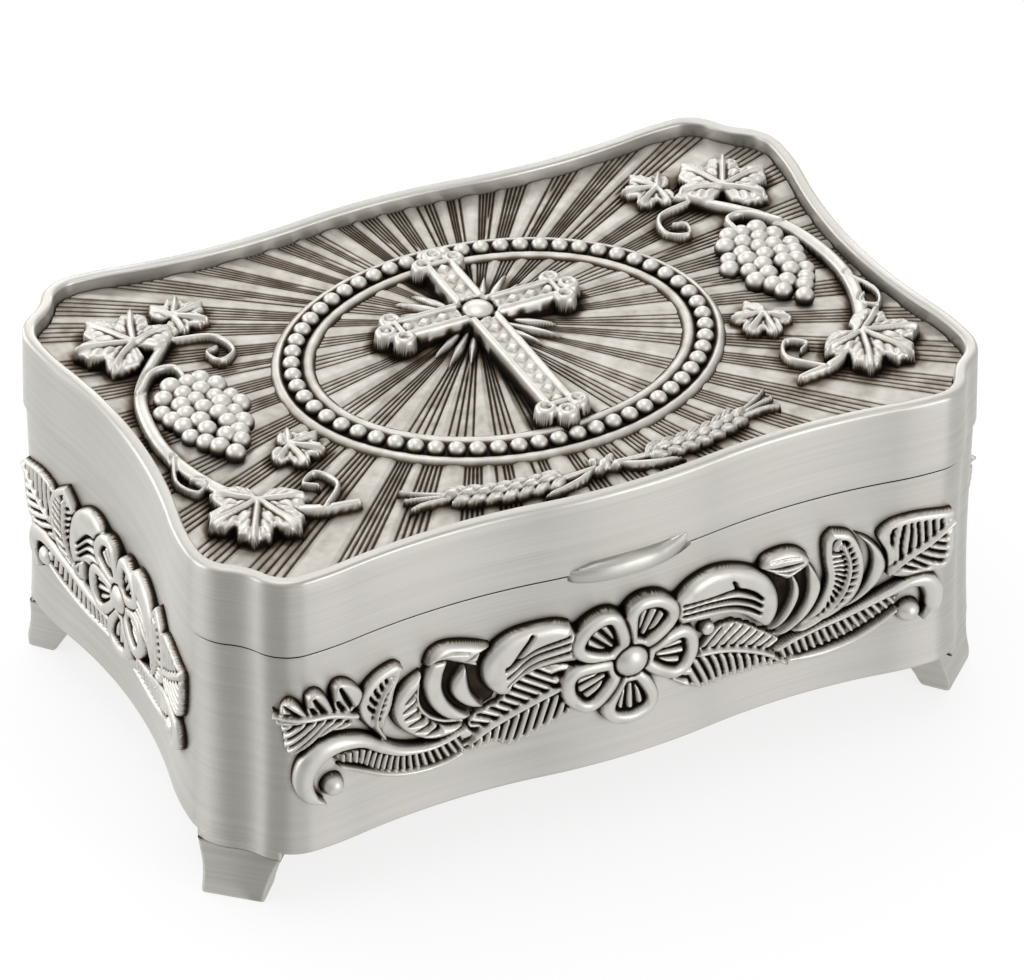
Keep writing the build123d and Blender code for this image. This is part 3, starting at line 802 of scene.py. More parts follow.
def right_spray(r):
    """Long mount, right of the flower."""
    # feather leaf under the shell leaf
    r.feather(loop([(9.6, -2.9), (10.4, -1.5), (12.2, -0.3), (14.3, -0.1), (16.2, -1.0), (17.8, -2.1)],
                   [(17.8, -2.1), (18.3, -2.6), (19.9, -3.8), (21.3, -5.1), (20.2, -6.2)],
                   [(20.2, -6.2), (21.6, -7.8), (22.8, -9.4)],
                   [(22.8, -9.4), (20.4, -9.2), (18.4, -8.7), (16.7, -8.8), (14.6, -8.5), (12.5, -8.4),
                    (10.8, -8.5), (9.0, -8.0), (7.2, -6.7), (6.0, -5.2), (9.6, -2.9)]),
              [(9.0, -2.9), (13.2, -3.9), (16.7, -5.3), (19.8, -7.0), (22.5, -9.2)], 1.25, 1.4, slant=0.75,
              lobes=0.25)
    # end leaf
    r.feather(loop([(35.6, 0.2), (35.4, 3.6), (34.2, 6.4), (35.6, 8.0), (38.4, 8.5), (41.5, 8.2), (44.2, 7.6)],
                   [(44.2, 7.6), (44.3, 4.6), (44.3, 1.2), (43.4, -0.6), (40.5, -0.7), (38.1, -0.6), (35.6, 0.2)]),
              [(35.8, 0.6), (38.4, 2.5), (40.8, 3.8), (44.0, 5.9)], 1.35, 1.2, slant=0.55, lobes=0.0, plain=0.75)
    # hollow crescents
    r.leaf(loop([(18.2, 4.0), (21.0, 6.0), (25.0, 5.0), (26.8, 1.2), (25.6, -2.6), (21.4, -4.2), (18.8, -2.2)]), 0.3)
    r.leaf(loop([(31.3, 7.4), (33.2, 6.2), (34.7, 4.4), (35.5, 2.4), (35.3, 0.6), (34.2, -1.0), (32.0, -2.6),
                 (29.0, -3.7)],
                [(29.0, -3.7), (31.8, -1.6), (33.2, 0.6), (33.6, 3.0), (33.0, 5.2), (31.3, 7.4)]), 1.5, 1.0)
    r.feather(loop([(28.1, 8.8), (27.1, 7.6), (27.2, 4.6), (27.6, 1.8), (27.0, -0.6), (25.4, -2.8), (22.6, -4.6)],
                   [(22.6, -4.6), (26.4, -4.4), (29.4, -3.4), (31.4, -1.8), (32.4, 0.4), (32.6, 3.0), (32.0, 5.4),
                    (30.6, 7.8), (28.1, 8.8)]),
              [(23.2, -4.6), (26.3, -3.7), (28.6, -2.0), (29.9, -0.2), (30.5, 2.0), (30.4, 4.0), (29.6, 6.2)], 1.6,
              0.9, slant=0.5, lobes=0.0, plain=0.75, rib_width=0.34)
    r.leaf(loop([(24.7, 5.6), (26.2, 3.2), (26.8, 1.2), (26.2, -0.9), (24.8, -2.8), (22.4, -4.3), (20.2, -4.7)],
                [(20.2, -4.7), (22.8, -3.1), (24.3, -1.2), (24.9, 0.6), (24.9, 2.6), (24.7, 5.6)]), 1.65, 0.6)
    r.leaf(loop([(22.4, 4.6), (23.5, 2.8), (23.8, 1.0), (23.2, -0.8), (21.8, -2.6), (19.4, -3.8)],
                [(19.4, -3.8), (21.4, -1.7), (22.4, 0.2), (22.7, 2.0), (22.4, 4.6)]), 1.6, 0.5)
    # bud
    r.leaf(loop([(18.0, 6.4), (18.9, 7.8), (21.5, 8.1), (23.6, 7.4), (25.1, 5.8), (24.8, 4.8)],
                [(24.8, 4.8), (23.6, 4.2), (22.0, 3.6), (20.9, 4.3), (19.8, 5.1), (18.0, 6.4)]), 1.9, 1.2)
    r.groove([(18.9, 6.2), (21.5, 5.7), (23.8, 5.8)], [0.12, 0.34, 0.12], 1.0)
    r.groove([(20.3, 5.2), (22.0, 4.8), (23.8, 5.0)], [0.12, 0.26, 0.1], 0.8)
    r.groove([(19.4, 7.2), (21.6, 7.0), (23.4, 6.6)], [0.08, 0.16, 0.08], 0.4)
    # banded edge, rib and scroll
    r.band([(21.4, -7.6), (24.0, -7.2), (26.6, -6.9), (29.8, -6.2), (33.2, -5.0), (36.7, -3.3)],
           [0.8, 1.1, 1.2, 1.25, 1.1, 0.8], 1.15, 1.0, 0.2)
    r.stroke([(22.6, -8.7), (26.3, -9.1), (29.1, -8.9), (31.9, -8.2), (34.6, -6.8), (37.0, -5.2)],
             [0.4, 0.6, 0.6, 0.52, 0.42, 0.3], 1.4)
    r.stroke([(20.6, -6.4), (23.2, -5.6), (26.3, -4.9), (29.8, -4.2), (33.2, -3.2), (36.3, -2.1), (38.7, -1.4),
              (40.7, -1.8), (41.7, -3.4), (41.7, -5.6), (40.4, -7.0)],
             [0.22, 0.4, 0.42, 0.5, 0.6, 0.75, 0.95, 1.25, 1.35, 1.1, 0.25], 1.85, lean=0.12)
    r.groove([(38.4, -2.1), (39.8, -2.6), (40.5, -3.9), (40.4, -5.4)], [0.1, 0.3, 0.3, 0.12], 0.5)
    r.ball(38.7, -5.8, 1.6, 2.0)
    # shell leaf with long folds
    r.leaf(loop([(6.0, 6.6), (8.1, 8.2), (10.8, 8.9), (13.6, 8.5), (16.3, 7.4), (18.5, 5.9), (20.0, 3.9), (20.8, 1.7),
                 (20.8, -0.4), (20.0, -2.0), (18.9, -2.4), (17.6, -1.2)],
                [(17.6, -1.2), (15.7, 0.4), (13.2, 1.5), (10.0, 2.0), (6.6, 2.6)],
                [(6.6, 2.6), (5.8, 4.6), (6.0, 6.6)]), 2.05, 1.5)
    for line in ([(7.0, 5.6), (10.5, 5.2), (14.4, 4.9), (16.8, 3.6), (18.2, 2.3)],
                 [(7.0, 4.8), (10.6, 4.4), (14.0, 3.7), (16.6, 2.4), (18.1, 1.3)],
                 [(7.0, 4.0), (10.6, 3.5), (13.9, 2.6), (16.3, 1.4), (18.0, 0.2)]):
        r.groove(line, [0.26, 0.3, 0.36, 0.36, 0.2], 1.15)
    r.groove([(13.7, 6.6), (14.2, 5.9), (14.6, 5.0)], [0.12, 0.34, 0.3], 0.9)
    r.leaf(circle(10.8, 0.3, 1.05), 1.5, 0.7)


def long_drawing():
    """The front mount, drawn from the middle of its flower."""
    r = Relief(-45.9, 45.3, -11.0, 9.8, MOUNT_STEP)
    left_spray(r)
    right_spray(r)
    flower(r, (270, 351, 64, 132, 202), 9.3, 2.35, 2.95, 2.25)
    return r


def short_drawing():
    """The side mount, drawn from the middle of its flower. Its halves match."""
    r = Relief(-26.0, 26.0, -10.0, 9.2, MOUNT_STEP)
    for flip in (1, -1):
        def at(points):
            return [(0.95 * flip * x, y) for x, y in points]

        r.feather(loop(at([(15.2, 2.0), (17.0, 6.2), (20.6, 7.4), (25.6, 6.2)]),
                       at([(25.6, 6.2), (25.4, 2.4), (24.2, -1.2), (20.0, -2.0), (15.6, -0.8), (15.2, 2.0)])),
                  at([(15.6, 0.0), (20.4, 2.4), (25.4, 5.6)]), 1.4, 1.35, slant=0.7, lobes=0.1, plain=0.4)
        r.feather(loop(at([(10.6, -4.4), (10.8, 1.6), (12.2, 6.0), (14.4, 8.4)]),
                       at([(14.4, 8.4), (17.4, 6.0), (18.2, 1.6), (16.0, -2.4), (10.6, -4.4)])),
                  at([(11.2, -4.2), (14.6, 0.6), (14.6, 6.0)]), 1.6, 1.0, slant=0.6, lobes=0.0, plain=0.7,
                  rib_width=0.34)
        r.leaf(loop(at([(3.2, 6.0), (6.0, 8.2), (9.4, 8.0), (12.6, 5.4), (13.8, 0.9), (12.8, -2.2)]),
                    at([(12.8, -2.2), (9.6, -0.4), (3.8, 0.2), (3.2, 6.0)])), 1.95, 1.4)
        for shift in (0.0, 1.25, 2.4):
            r.groove(at([(4.4, 4.9 - shift), (8.4, 4.4 - 1.0 * shift), (11.4, 1.7 - 0.8 * shift)]),
                     [0.3, 0.36, 0.2], 1.1)
        r.band(at([(4.0, -6.7), (9.6, -6.7), (14.0, -5.8), (18.4, -4.4)]), [1.2, 1.3, 1.2, 0.8], 1.1, 1.05, 0.2)
        r.stroke(at([(4.0, -8.1), (10.0, -8.3), (15.0, -7.3), (18.8, -5.7)]), [0.35, 0.55, 0.55, 0.4], 1.3)
        r.stroke(at([(4.0, -5.3), (9.6, -5.0), (15.0, -3.4), (19.6, -2.3), (22.6, -3.2), (23.2, -5.4), (21.4, -7.4)]),
                 [0.5, 0.75, 0.95, 1.15, 1.3, 1.15, 0.3], 1.6, lean=0.12)
        r.ball(0.95 * flip * 20.2, -5.4, 1.4, 1.7)
    flower(r, (270, 342, 54, 126, 198), 8.4, 2.1, 2.6, 2.1)
    return r


# ================================================================ pieces of the base
def mount_shadow(profile, long_relief, short_relief):
    """Height of the mounts round each point of the swept walls, which darkens the wall beside them with patina and
    painted shade.
    """
    x, y = np.repeat(PLAN, len(profile), axis=0).T
    z = np.tile(profile[:, 1], len(PLAN)) - FLOWER_HEIGHT
    outer = np.tile(profile[:, 0] > -0.4, len(PLAN))
    long_side = np.repeat(np.abs(NORMAL[:, 1]) > WALL_END, len(profile)) & (np.abs(y) > 24)
    shadow = np.zeros(len(x))
    for relief, across, chosen in (
        (long_relief, x - MOUNT_SHIFT, long_side & (y < 0)),
        (long_relief, -x - MOUNT_SHIFT, long_side & (y > 0)),
        (short_relief, -y - SIDE_SHIFT, ~long_side & (x < 0)),
        (short_relief, y - SIDE_SHIFT, ~long_side & (x > 0)),
    ):
        shadow = np.where(chosen & outer, relief.shadow(across, z, 0.45), shadow)
    return shadow


def base_wall_piece(long_relief, short_relief):
    """The serpentine walls of the base, flared towards their foot."""
    low = float(flare(FOOT_HEIGHT))
    corners = rounded([(low, FOOT_HEIGHT, 0.15), (0, SEAM, 0.22), (-WALL, SEAM, 0.22), (-WALL, FOOT_HEIGHT, 0.3)], 4)
    outer = np.array([(float(flare(z)), z) for z in np.arange(FOOT_HEIGHT + 0.4, SEAM - 0.4, 0.34)])
    split = int(np.argmax(corners[:, 1] > (FOOT_HEIGHT + SEAM) / 2))
    profile = np.concatenate([corners[:split], outer, corners[split:]])
    co, faces, along = wall_mesh(profile)
    hollow = mount_shadow(profile, long_relief, short_relief)
    # Painted shadow: the lid's edge is painted as a dark band on the wall just under the seam.
    hollow = np.maximum(hollow, np.where(co[:, 2] > SEAM - SEAM_SHADE, 0.95, 0))
    piece = mesh_object("base_wall_casting", co, faces, "base", "satin_pewter", hollow, along)
    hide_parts("base_wall")


FOOT_AIM = radians(48.5)    # the feet point this far round from the X axis
SHANK_TOP = 7.65
# Outer face, inner face and half width of a foot, as (distance from the notch of the wall, height).
FOOT_OUTER = [(0.75, 0.0), (0.98, 0.2), (1.08, 1.0), (1.0, 2.0), (0.62, 3.6), (0.3, 5.4), (0.1, SHANK_TOP)]
FOOT_INNER = [(-2.6, 0.0), (-3.0, 0.5), (-3.8, 2.0), (-4.7, 3.5), (-5.6, 5.2), (-6.6, SHANK_TOP)]
FOOT_HALF = [(3.75, 0.0), (3.95, 0.4), (4.05, 2.0), (4.4, 4.0), (5.0, 6.0), (5.5, SHANK_TOP)]
COLLAR_BOTTOM, COLLAR_TOP = 7.6, 8.9
COLLAR_REACH = 5.6          # to each side of the middle of the foot


def foot_piece(name, flip):
    """A diagonal foot: rounded sections from the toe up to the collar that the wall ends in."""
    points, normals = follow(bends()[:4] + [(NOTCH[0], -NOTCH[1] / 2)], (0, HALF_WIDTH))
    notch, out = points[-1], normals[-1]
    along_wall = np.array((out[1], -out[0]))
    outward = np.array((cos(FOOT_AIM), sin(FOOT_AIM)))
    across = np.array((outward[1], -outward[0]))
    lines = [spline(line, 8) for line in (FOOT_OUTER, FOOT_INNER, FOOT_HALF)]
    rings = []
    for z in np.concatenate([np.linspace(0, 1.4, 9), np.linspace(1.6, SHANK_TOP, 30)]):
        outer, inner, half = (np.interp(z, line[:, 1], line[:, 0]) for line in lines)
        lip = 0.5 if z > 0.3 else 0.35
        section = rounded([(outer, half, lip), (inner, half, 0.3), (inner, -half, 0.3), (outer, -half, lip)], 4)
        middle = notch + along_wall * np.interp(z, (0, SHANK_TOP), (2.15, 1.15))
        xy = middle + section[:, :1] * outward + section[:, 1:] * across
        rings.append(at_height(xy * flip, z))
    count = len(rings[0])
    co = np.concatenate(rings)
    faces = [tuple(q) for q in grid_faces(len(rings), count)]
    faces += [tuple(range(count))[::-1], tuple((len(rings) - 1) * count + k for k in range(count))]
    if flip[0] * flip[1] < 0:
        faces = [face[::-1] for face in faces]
    shadow = np.clip((co[:, 2] - 7.1) * 1.1, 0, 0.5)
    piece = mesh_object(name + "_casting", co, faces, "base", "satin_pewter", shadow)
    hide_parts(name)
    collar_piece(name + "_collar", (notch + along_wall) * flip)


def collar_piece(name, middle):
    """The collar that carries the wall on down to the shank of a foot."""
    index = stretch(np.hypot(*(PLAN - middle).T) < COLLAR_REACH)
    low = float(flare(FOOT_HEIGHT))
    profile = rounded([(low, COLLAR_BOTTOM, 0.06), (low, 7.75, 0), (low, 8.2, 0), (low, 8.84, 0),
                       (low, COLLAR_TOP, 0), (-WALL, COLLAR_TOP, 0), (-WALL, COLLAR_BOTTOM, 0)], 3)
    co, faces = strip_mesh(index, profile)
    # Painted shadow: the collar's lower edge is painted dark where it overhangs the shank of the foot.
    painted_shade_edge = np.where(co[:, 2] < COLLAR_BOTTOM + 0.12, 0.9, 0.0)
    mesh_object(name, co, faces, "base", "satin_pewter", painted_shade_edge, np.repeat(PLAN_RUN[index], len(profile)))


# ================================================================ pieces of the lid
def lid_frame_piece():
    """The lid's wall and rim, with the deck under the plaque."""
    lip = SEAM + SEAM_GAP
    ledge = RIM_WIDTH + 1.0
    profile = dense(rounded([
        (LID_FLARE, lip, 0.22), (0, RIM, 0.55), (-RIM_WIDTH, RIM, 0.45), (-RIM_WIDTH, DECK_TOP, 0),
        (-ledge, DECK_TOP, 0), (-ledge, DECK_BOTTOM, 0), (-WALL, DECK_BOTTOM, 0), (-WALL, lip, 0.2)], 5), 1.2)
    co, faces, along = wall_mesh(profile)
    offset, height = profile.T
    # Painted shade: the rim's inner wall darkens towards the plaque's ground, and the lid's lower edge over the seam
    # is painted dark.
    inside = np.where(offset < -RIM_WIDTH + 0.1, np.interp(height, (GROUND, RIM - 0.4), (0.5, 0.0)), 0)
    shade = np.maximum(np.tile(inside, len(PLAN)), np.where(co[:, 2] < lip + 0.12, 0.8, 0))
    piece = mesh_object("lid_frame_casting", co, faces, "lid", "satin_pewter", shade, along)
    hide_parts("lid_frame")
    count = len(PLAN)
    flat_plate("lid_deck", PLAN + NORMAL * (-RIM_WIDTH - 0.8), DECK_TOP, DECK_BOTTOM,
               [tuple(range(count)), tuple(range(count, 2 * count))[::-1]], "satin_pewter")


TAB_HALF = 8.2              # half its length
TAB_REACH = 1.9             # how far it stands out
TAB_RISE, TAB_DROP = 1.6, 0.7   # above and below the seam


def finger_tab_piece():
    """A crescent lip on the front edge, over the seam, thick at its left end and drawn out at its right."""
    limit = HALF_WIDTH + LID_FLARE + TAB_REACH
    line = wall_line()[0]
    sections = []
    for x in np.linspace(-TAB_HALF, TAB_HALF, 101):
        share = abs(x) / TAB_HALF
        swell = (1 - share ** 3.4) ** 0.62 if x < 0 else (1 - share ** 1.9) ** 0.95
        wall = np.interp(abs(x), line[:, 0], line[:, 1])
        out = min(wall + TAB_REACH * swell, limit)
        thick = max(out - wall, 0.02)
        bevel = min(0.75, 0.5 * thick)
        inner = wall + 0.3 if out > wall + 0.5 else out - 0.15
        z0 = SEAM - TAB_DROP
        z1 = SEAM + TAB_RISE * (0.55 + 0.45 * ease((x + TAB_HALF) / 3.5)) + 0.25 * ease((x - 3) / 5)
        section = [(out, z0 + 0.16, 0.0), (out, z1 - bevel * 1.1, 0.0), (out - bevel * 0.6, z1 - bevel * 0.25, 0.0),
                   (max(out - bevel * 1.4, wall + 0.02), z1, 0.0), (wall + min(0.35, 0.3 * thick), z1, 0.08),
                   (wall, z1, 0.5), (wall - 0.5, z1, 0.5), (wall - 0.5, SEAM + 0.3, 0.3),
                   (inner, SEAM + 0.25, 0.3), (inner, z0, 0.1), (out - 0.16, z0, 0.0)]
        sections.append([(x, -y, z, shade) for y, z, shade in section])
    quads = grid_faces(len(sections), len(sections[0]))[:, ::-1]
    points = np.array(sections).reshape(-1, 4)
    mesh_object("finger_tab", points[:, :3], quads, "lid", "satin_pewter", points[:, 3])


# ================================================================ plaque
CROSSING = (0.0, 6.0)       # where the arms of the cross meet, and the rays start
MEDALLION = (28.5, 23.5)    # half length and half width of its oval
MEDALLION_GROUND = 0.45     # heights here are above the plaque's ground


def oval(inset, count):
    """Points of the medallion's oval, drawn in by an inset and evenly spaced."""
    t = np.linspace(0, 2 * pi, 1441)
    p = np.stack([(MEDALLION[0] - inset) * np.cos(t), (MEDALLION[1] - inset) * np.sin(t)], axis=1)
    run = lengths(p)
    even = np.linspace(0, run[-1], count, endpoint=False)
    return np.stack([np.interp(even, run, p[:, 0]), np.interp(even, run, p[:, 1])], axis=1)


def reach_of(points, angle):
    """Distance from the crossing to a closed line round it, by direction."""
    x, y = points[:, 0] - CROSSING[0], points[:, 1] - CROSSING[1]
    direction = np.arctan2(y, x)
    order = np.argsort(direction)
    return np.interp(angle, direction[order], np.hypot(x, y)[order], period=2 * pi)


def directions(count):
    """Evenly spaced directions all round."""
    return np.linspace(-pi, pi, count, endpoint=False)


def rays(groups, lines_in_group, seed):
    """Directions of engraved lines in groups, and the distance at which each line starts."""
    chance = np.random.default_rng(seed)
    angles, starts = [], []
    for k in range(groups):
        middle = 2 * pi * (k + chance.uniform(-0.12, 0.12)) / groups
        spread = 2 * pi / groups * chance.uniform(0.40, 0.58)
        for j in range(lines_in_group):
            angles.append(middle + spread * (j / (lines_in_group - 1) - 0.5))
            starts.append(chance.uniform(0, 34) if j % 2 else 0)
    order = np.argsort(angles)
    return np.array(angles)[order], np.array(starts)[order]


def polar_ground(name, inner, outer, rings, base, engraving, width, depth, crown, reliefs):
    """A ground of radial lines between two distances from the crossing, one for each column of points."""
    turns = len(inner)
    angle = directions(turns)
    lines, starts = engraving
    share = np.linspace(0, 1, rings)[None, :]
    radius = inner[:, None] * (1 - share) + outer[:, None] * share
    wide = np.concatenate([lines - 2 * pi, lines, lines + 2 * pi])
    begin = np.tile(starts, 3)
    after = np.clip(np.searchsorted(wide, angle), 1, len(wide) - 1)
    nearer = np.where(angle - wide[after - 1] < wide[after] - angle, after - 1, after)
    gap = wide[after] - wide[after - 1]
    away = np.abs(angle - wide[nearer])[:, None] * radius
    cut = bell(away, width) * ease((radius - begin[nearer][:, None]) / 2.0)
    smooth = (gap > 1.6 * np.median(np.diff(lines)))[:, None]
    swell = np.where(smooth, ease((away - 0.1) / 0.8), 0)
    x = CROSSING[0] + radius * np.cos(angle)[:, None]
    y = CROSSING[1] + radius * np.sin(angle)[:, None]
    z = base - depth * cut + crown * swell
    hollow = 0.05 + 0.12 * cut + np.where(smooth, 0.0, 0.02)
    # Patina and painted shade darken the ground round the relief forms.
    for relief, flip in reliefs:
        hollow = hollow + 0.22 * relief.shadow(flip * x, y, 0.7)
    co = np.stack([x, y, GROUND + z], axis=2).reshape(-1, 3)
    quads = grid_faces(turns, rings, wrap_rows=True, wrap_columns=False)[:, [0, 3, 2, 1]]
    return mesh_object(name, co, quads, "lid", "antique_pewter", hollow.ravel())


VINE_LEAF = [(0, 1.0), (8, 0.88), (18, 0.86), (28, 0.66), (37, 0.82), (50, 0.97), (60, 0.85), (70, 0.82),
             (82, 0.60), (94, 0.72), (108, 0.84), (123, 0.72), (143, 0.60), (160, 0.44), (176, 0.16)]


def vine_leaf(relief, x, y, turn, size, height):
    """A vine leaf with five lobes and a vein to the tip of each."""
    half = [(reach * cos(radians(a)), reach * sin(radians(a))) for a, reach in VINE_LEAF]
    outline = np.array(spun(half + [(a, -b) for a, b in reversed(half[1:])], turn, size, x, y))
    place, u, v = relief.window(outline)
    depth = depth_inside(outline, u, v)
    away, along = np.full(u.shape, 1e9), np.zeros(u.shape)
    for lobe, reach in ((0, 0.95), (50, 0.9), (-50, 0.9), (108, 0.72), (-108, 0.72)):
        tip = (reach * cos(radians(lobe)), reach * sin(radians(lobe)))
        d, run, _ = nearest(np.array(spun([(-0.05, 0), (0.5 * tip[0], 0.5 * tip[1]), tip], turn, size, x, y)), u, v)
        along = np.where(d < away, run, along)
        away = np.minimum(away, d)
    ridge = bars((along - 0.9 * away) / 1.5)
    layer = height * (0.62 + 0.38 * rolled(depth, 1.5)) - 0.10 * away
    layer -= 0.30 * (1 - ridge) * ease((away - 0.45) / 0.4) * ease((depth - 0.3) / 0.4)
    layer -= 0.40 * bell(away - 0.5, 0.22)
    layer += 0.16 * bell(away, 0.3)
    relief.lay(place, depth, layer, 0.28)


def vine_drawing():
    """The vine on the right side of the plaque. The left one is its mirror image."""
    r = Relief(27.6, 49.8, -27.4, 27.6, PLAQUE_STEP)
    r.stroke([(29.4, -22.6), (35.6, -21.0), (41.6, -15.4), (45.0, -7.0), (45.4, 1.0), (43.4, 9.2), (38.2, 16.0),
              (31.6, 21.6)], [0.5, 0.8, 0.95, 1.0, 1.0, 0.9, 0.75, 0.4], 1.5)
    r.stroke([(43.6, 9.0), (40.6, 12.2), (37.8, 12.0), (37.6, 9.2)], [0.6, 0.55, 0.5, 0.45], 1.7)
    r.stroke([(45.3, -5.0), (46.9, -9.6), (45.6, -12.6), (43.9, -11.2), (45.2, -9.8)], [0.4, 0.38, 0.34, 0.3, 0.25],
             1.3)
    r.stroke([(35.4, 18.0), (30.6, 16.6), (29.6, 12.8), (32.0, 11.4), (32.8, 13.6), (31.2, 14.2)],
             [0.45, 0.42, 0.38, 0.34, 0.3, 0.25], 1.3)
    r.stroke([(33.2, -21.6), (30.0, -18.0), (31.4, -14.8), (33.6, -16.2), (32.2, -17.4)],
             [0.45, 0.4, 0.36, 0.32, 0.25], 1.3)
    vine_leaf(r, 33.2, 22.6, 165, 4.6, 1.5)
    vine_leaf(r, 31.8, -8.6, 215, 4.4, 1.5)
    vine_leaf(r, 40.6, 18.6, 62, 7.4, 2.3)
    vine_leaf(r, 40.4, -18.4, -62, 7.4, 2.3)
    return r


def ball_mesh(radius, rings=9, segments=20):
    """Vertices, quads and shade of a ball without its underside."""
    lat = np.linspace(0, pi / 2 + 0.5, rings)
    lon = np.linspace(0, 2 * pi, segments, endpoint=False)
    co = np.array([(sin(a) * cos(b), sin(a) * sin(b), cos(a)) for a in lat for b in lon])
    shade = np.interp(co[:, 2], (-0.4, 0.25, 0.7), (0.3, 0.1, -0.02))
    return co * radius, grid_faces(rings, segments)[:, ::-1], shade


def balls(name, places):
    """Balls at (x, y, height above the ground, radius), as one casting."""
    co, faces, shades = [], [], []
    for k, (x, y, height, radius) in enumerate(places):
        ball, quads, shade = ball_mesh(radius)
        co.append(ball + (x, y, GROUND + height))
        faces.append(quads + k * len(ball))
        shades.append(shade)
    co = np.concatenate(co)
    mesh_object(name, co, np.concatenate(faces), "lid", "antique_pewter", np.concatenate(shades))


def grapes(name, flip):
    """A bunch that hangs from its top, with the grapes of its middle row over the others."""
    chance = np.random.default_rng(5)
    bunch = []
    for row, count in enumerate((3, 4, 5, 5, 4, 4, 3, 2, 1)):
        for k in range(count):
            off = k - (count - 1) / 2 + chance.uniform(-0.16, 0.16)
            radius = chance.uniform(1.2, 1.42)
            height = 1.15 - 0.17 * off * off - 0.04 * row + chance.uniform(-0.1, 0.15)
            bunch.append((flip * (38.0 + 2.2 * off), 8.4 - 1.95 * row + chance.uniform(-0.3, 0.3),
                          max(height, 0.1), radius))
    balls(name, bunch)


GRAIN = [(-1.3, 0), (-0.6, 0.62), (0.6, 0.58), (1.7, 0.0), (0.6, -0.58), (-0.6, -0.62)]
TOP_GRAIN = [(-1.3, 0), (-0.5, 0.6), (0.6, 0.55), (1.6, 0.0), (0.6, -0.55), (-0.5, -0.6)]


def wheat_ear(r, flip):
    """One ear with its stalk, its leaf and its awns."""
    line = spline([(flip * x, y) for x, y in ((0.0, -27.9), (7.0, -28.3), (14.0, -27.6), (20.0, -25.6))])
    run = lengths(line)

    def at(s):
        return np.array((np.interp(s, run, line[:, 0]), np.interp(s, run, line[:, 1])))

    r.stroke([tuple(at(s)) for s in (0, 4, 8)], [0.4, 0.4, 0.35], 1.0)
    root, end = (flip * 1.5, -28.4), (flip * 9.5, -30.8)
    r.feather(loop([root, (flip * 4.0, -30.4), end], [end, (flip * 5.0, -29.0), root]),
              [root, (flip * 5.0, -29.8), end], 0.8, 0.9, lobes=0.0)
    for s in (17.5, 18.5, 19.5):
        tip = at(20.4) + (flip * 4.4, 2.0 * (s - 18.5) + 1.2)
        r.stroke([tuple(at(17.0)), tuple((at(20.4) + tip) / 2), tuple(tip)], [0.34, 0.3, 0.2], 1.1)
    for s in np.arange(18.0, 5.5, -1.9):
        ahead = at(s + 0.5) - at(s - 0.5)
        heading = degrees(atan2(ahead[1], ahead[0]))
        for side in (1, -1):
            place = at(s) + side * 0.85 * np.array((-ahead[1], ahead[0]))
            r.leaf(loop(spun(GRAIN, heading + side * 24, 1.0, *place)), 1.55, 0.6)
            r.groove(spun([(-1.0, 0), (1.3, 0)], heading + side * 24, 1.0, *place), [0.14, 0.1], 0.4)
        r.leaf(loop(spun(TOP_GRAIN, heading, 1.0, *at(s + 0.9))), 1.8, 0.6)


def wheat_drawing():
    """Two ears of wheat, tied where their stalks meet at the front."""
    r = Relief(-25.4, 25.4, -31.2, -22.6, PLAQUE_STEP)
    wheat_ear(r, 1)
    wheat_ear(r, -1)
    for edge, middle in ((-27.1, -27.6), (-28.9, -28.4)):
        r.stroke([(-1.3, edge), (0, middle), (1.3, edge)], [0.5, 0.6, 0.5], 1.4)
    r.ball(0, -28.0, 0.95, 1.6)
    return r


def cross_drawing():
    """A budded cross with a raised edge, small diamonds along its middle and a boss at the crossing."""
    r = Relief(-14.6, 14.6, -20.6, 20.8, PLAQUE_STEP)
    u, v = np.meshgrid(r.u, r.v, indexing="ij")
    half, arm, head, foot = 2.15, 11.2, 17.6, -17.2
    cx, cy = CROSSING
    for quarter in (45, 135, 225, 315):
        for lean, tip in ((-28, 8.6), (-14, 10.4), (0, 11.6), (14, 10.4), (28, 8.6)):
            ray = spun([(2.4, -0.42), (tip * 0.6, -0.62), (tip, 0.0), (tip * 0.6, 0.62), (2.4, 0.42)], quarter + lean,
                       1.0, cx, cy)
            r.leaf(np.array(ray), 1.25, 0.55)
    shapes = [np.minimum(half - np.abs(u), np.minimum(head - v, v - foot)),
              np.minimum(half - np.abs(v - cy), arm - np.abs(u))]
    for x, y, dx, dy in ((0, head, 0, 1), (0, foot, 0, -1), (arm, cy, 1, 0), (-arm, cy, -1, 0)):
        for a, b in ((1.15, 0), (-0.35, 2.1), (-0.35, -2.1)):
            shapes.append(1.55 - np.hypot(u - x - a * dx - b * dy, v - y - a * dy - b * dx))
    depth = np.maximum.reduce(shapes)
    layer = 1.9 + 1.1 * rolled(depth, 0.9) - 0.55 * ease((depth - 0.75) / 0.3)
    on_head = np.abs(u) < np.abs(v - cy)
    run = np.where(on_head, v - cy, u) / 2.4
    off = np.where(on_head, u, v - cy)
    diamond = ease((0.85 - np.abs(off) - 2.0 * np.abs(run - np.round(run))) / 0.35)
    layer += 0.4 * diamond * ease((depth - 1.0) / 0.3)
    r.lay(slice(None), depth, layer, 0.4)
    r.ball(cx, cy, 2.1, 3.15, 1.9)
    r.groove(np.concatenate([circle(cx, cy, 2.3), circle(cx, cy, 2.3)[:1]]), [0.25, 0.25], 0.7)
    return r


# Section of the medallion's edge, as (distance in from it, height), and its shade by that distance.
RIM_SECTION = np.array([(-0.25, -0.3), (0.0, 0.2), (0.3, 0.55), (0.75, 0.72), (1.15, 0.60), (1.4, 0.36),
                        (3.5, 0.36), (3.75, 0.62), (4.1, 0.90), (4.5, 0.98), (4.9, 0.88), (5.2, 0.60),
                        (5.4, MEDALLION_GROUND)])
RIM_SHADE = ((-0.3, 0.1, 0.8, 1.3, 2.4, 3.5, 4.2, 5.0, 5.4), (0.3, 0.05, 0.0, 0.28, 0.3, 0.28, 0.0, 0.05, 0.25))
BEADS = 60                  # in the channel of the edge


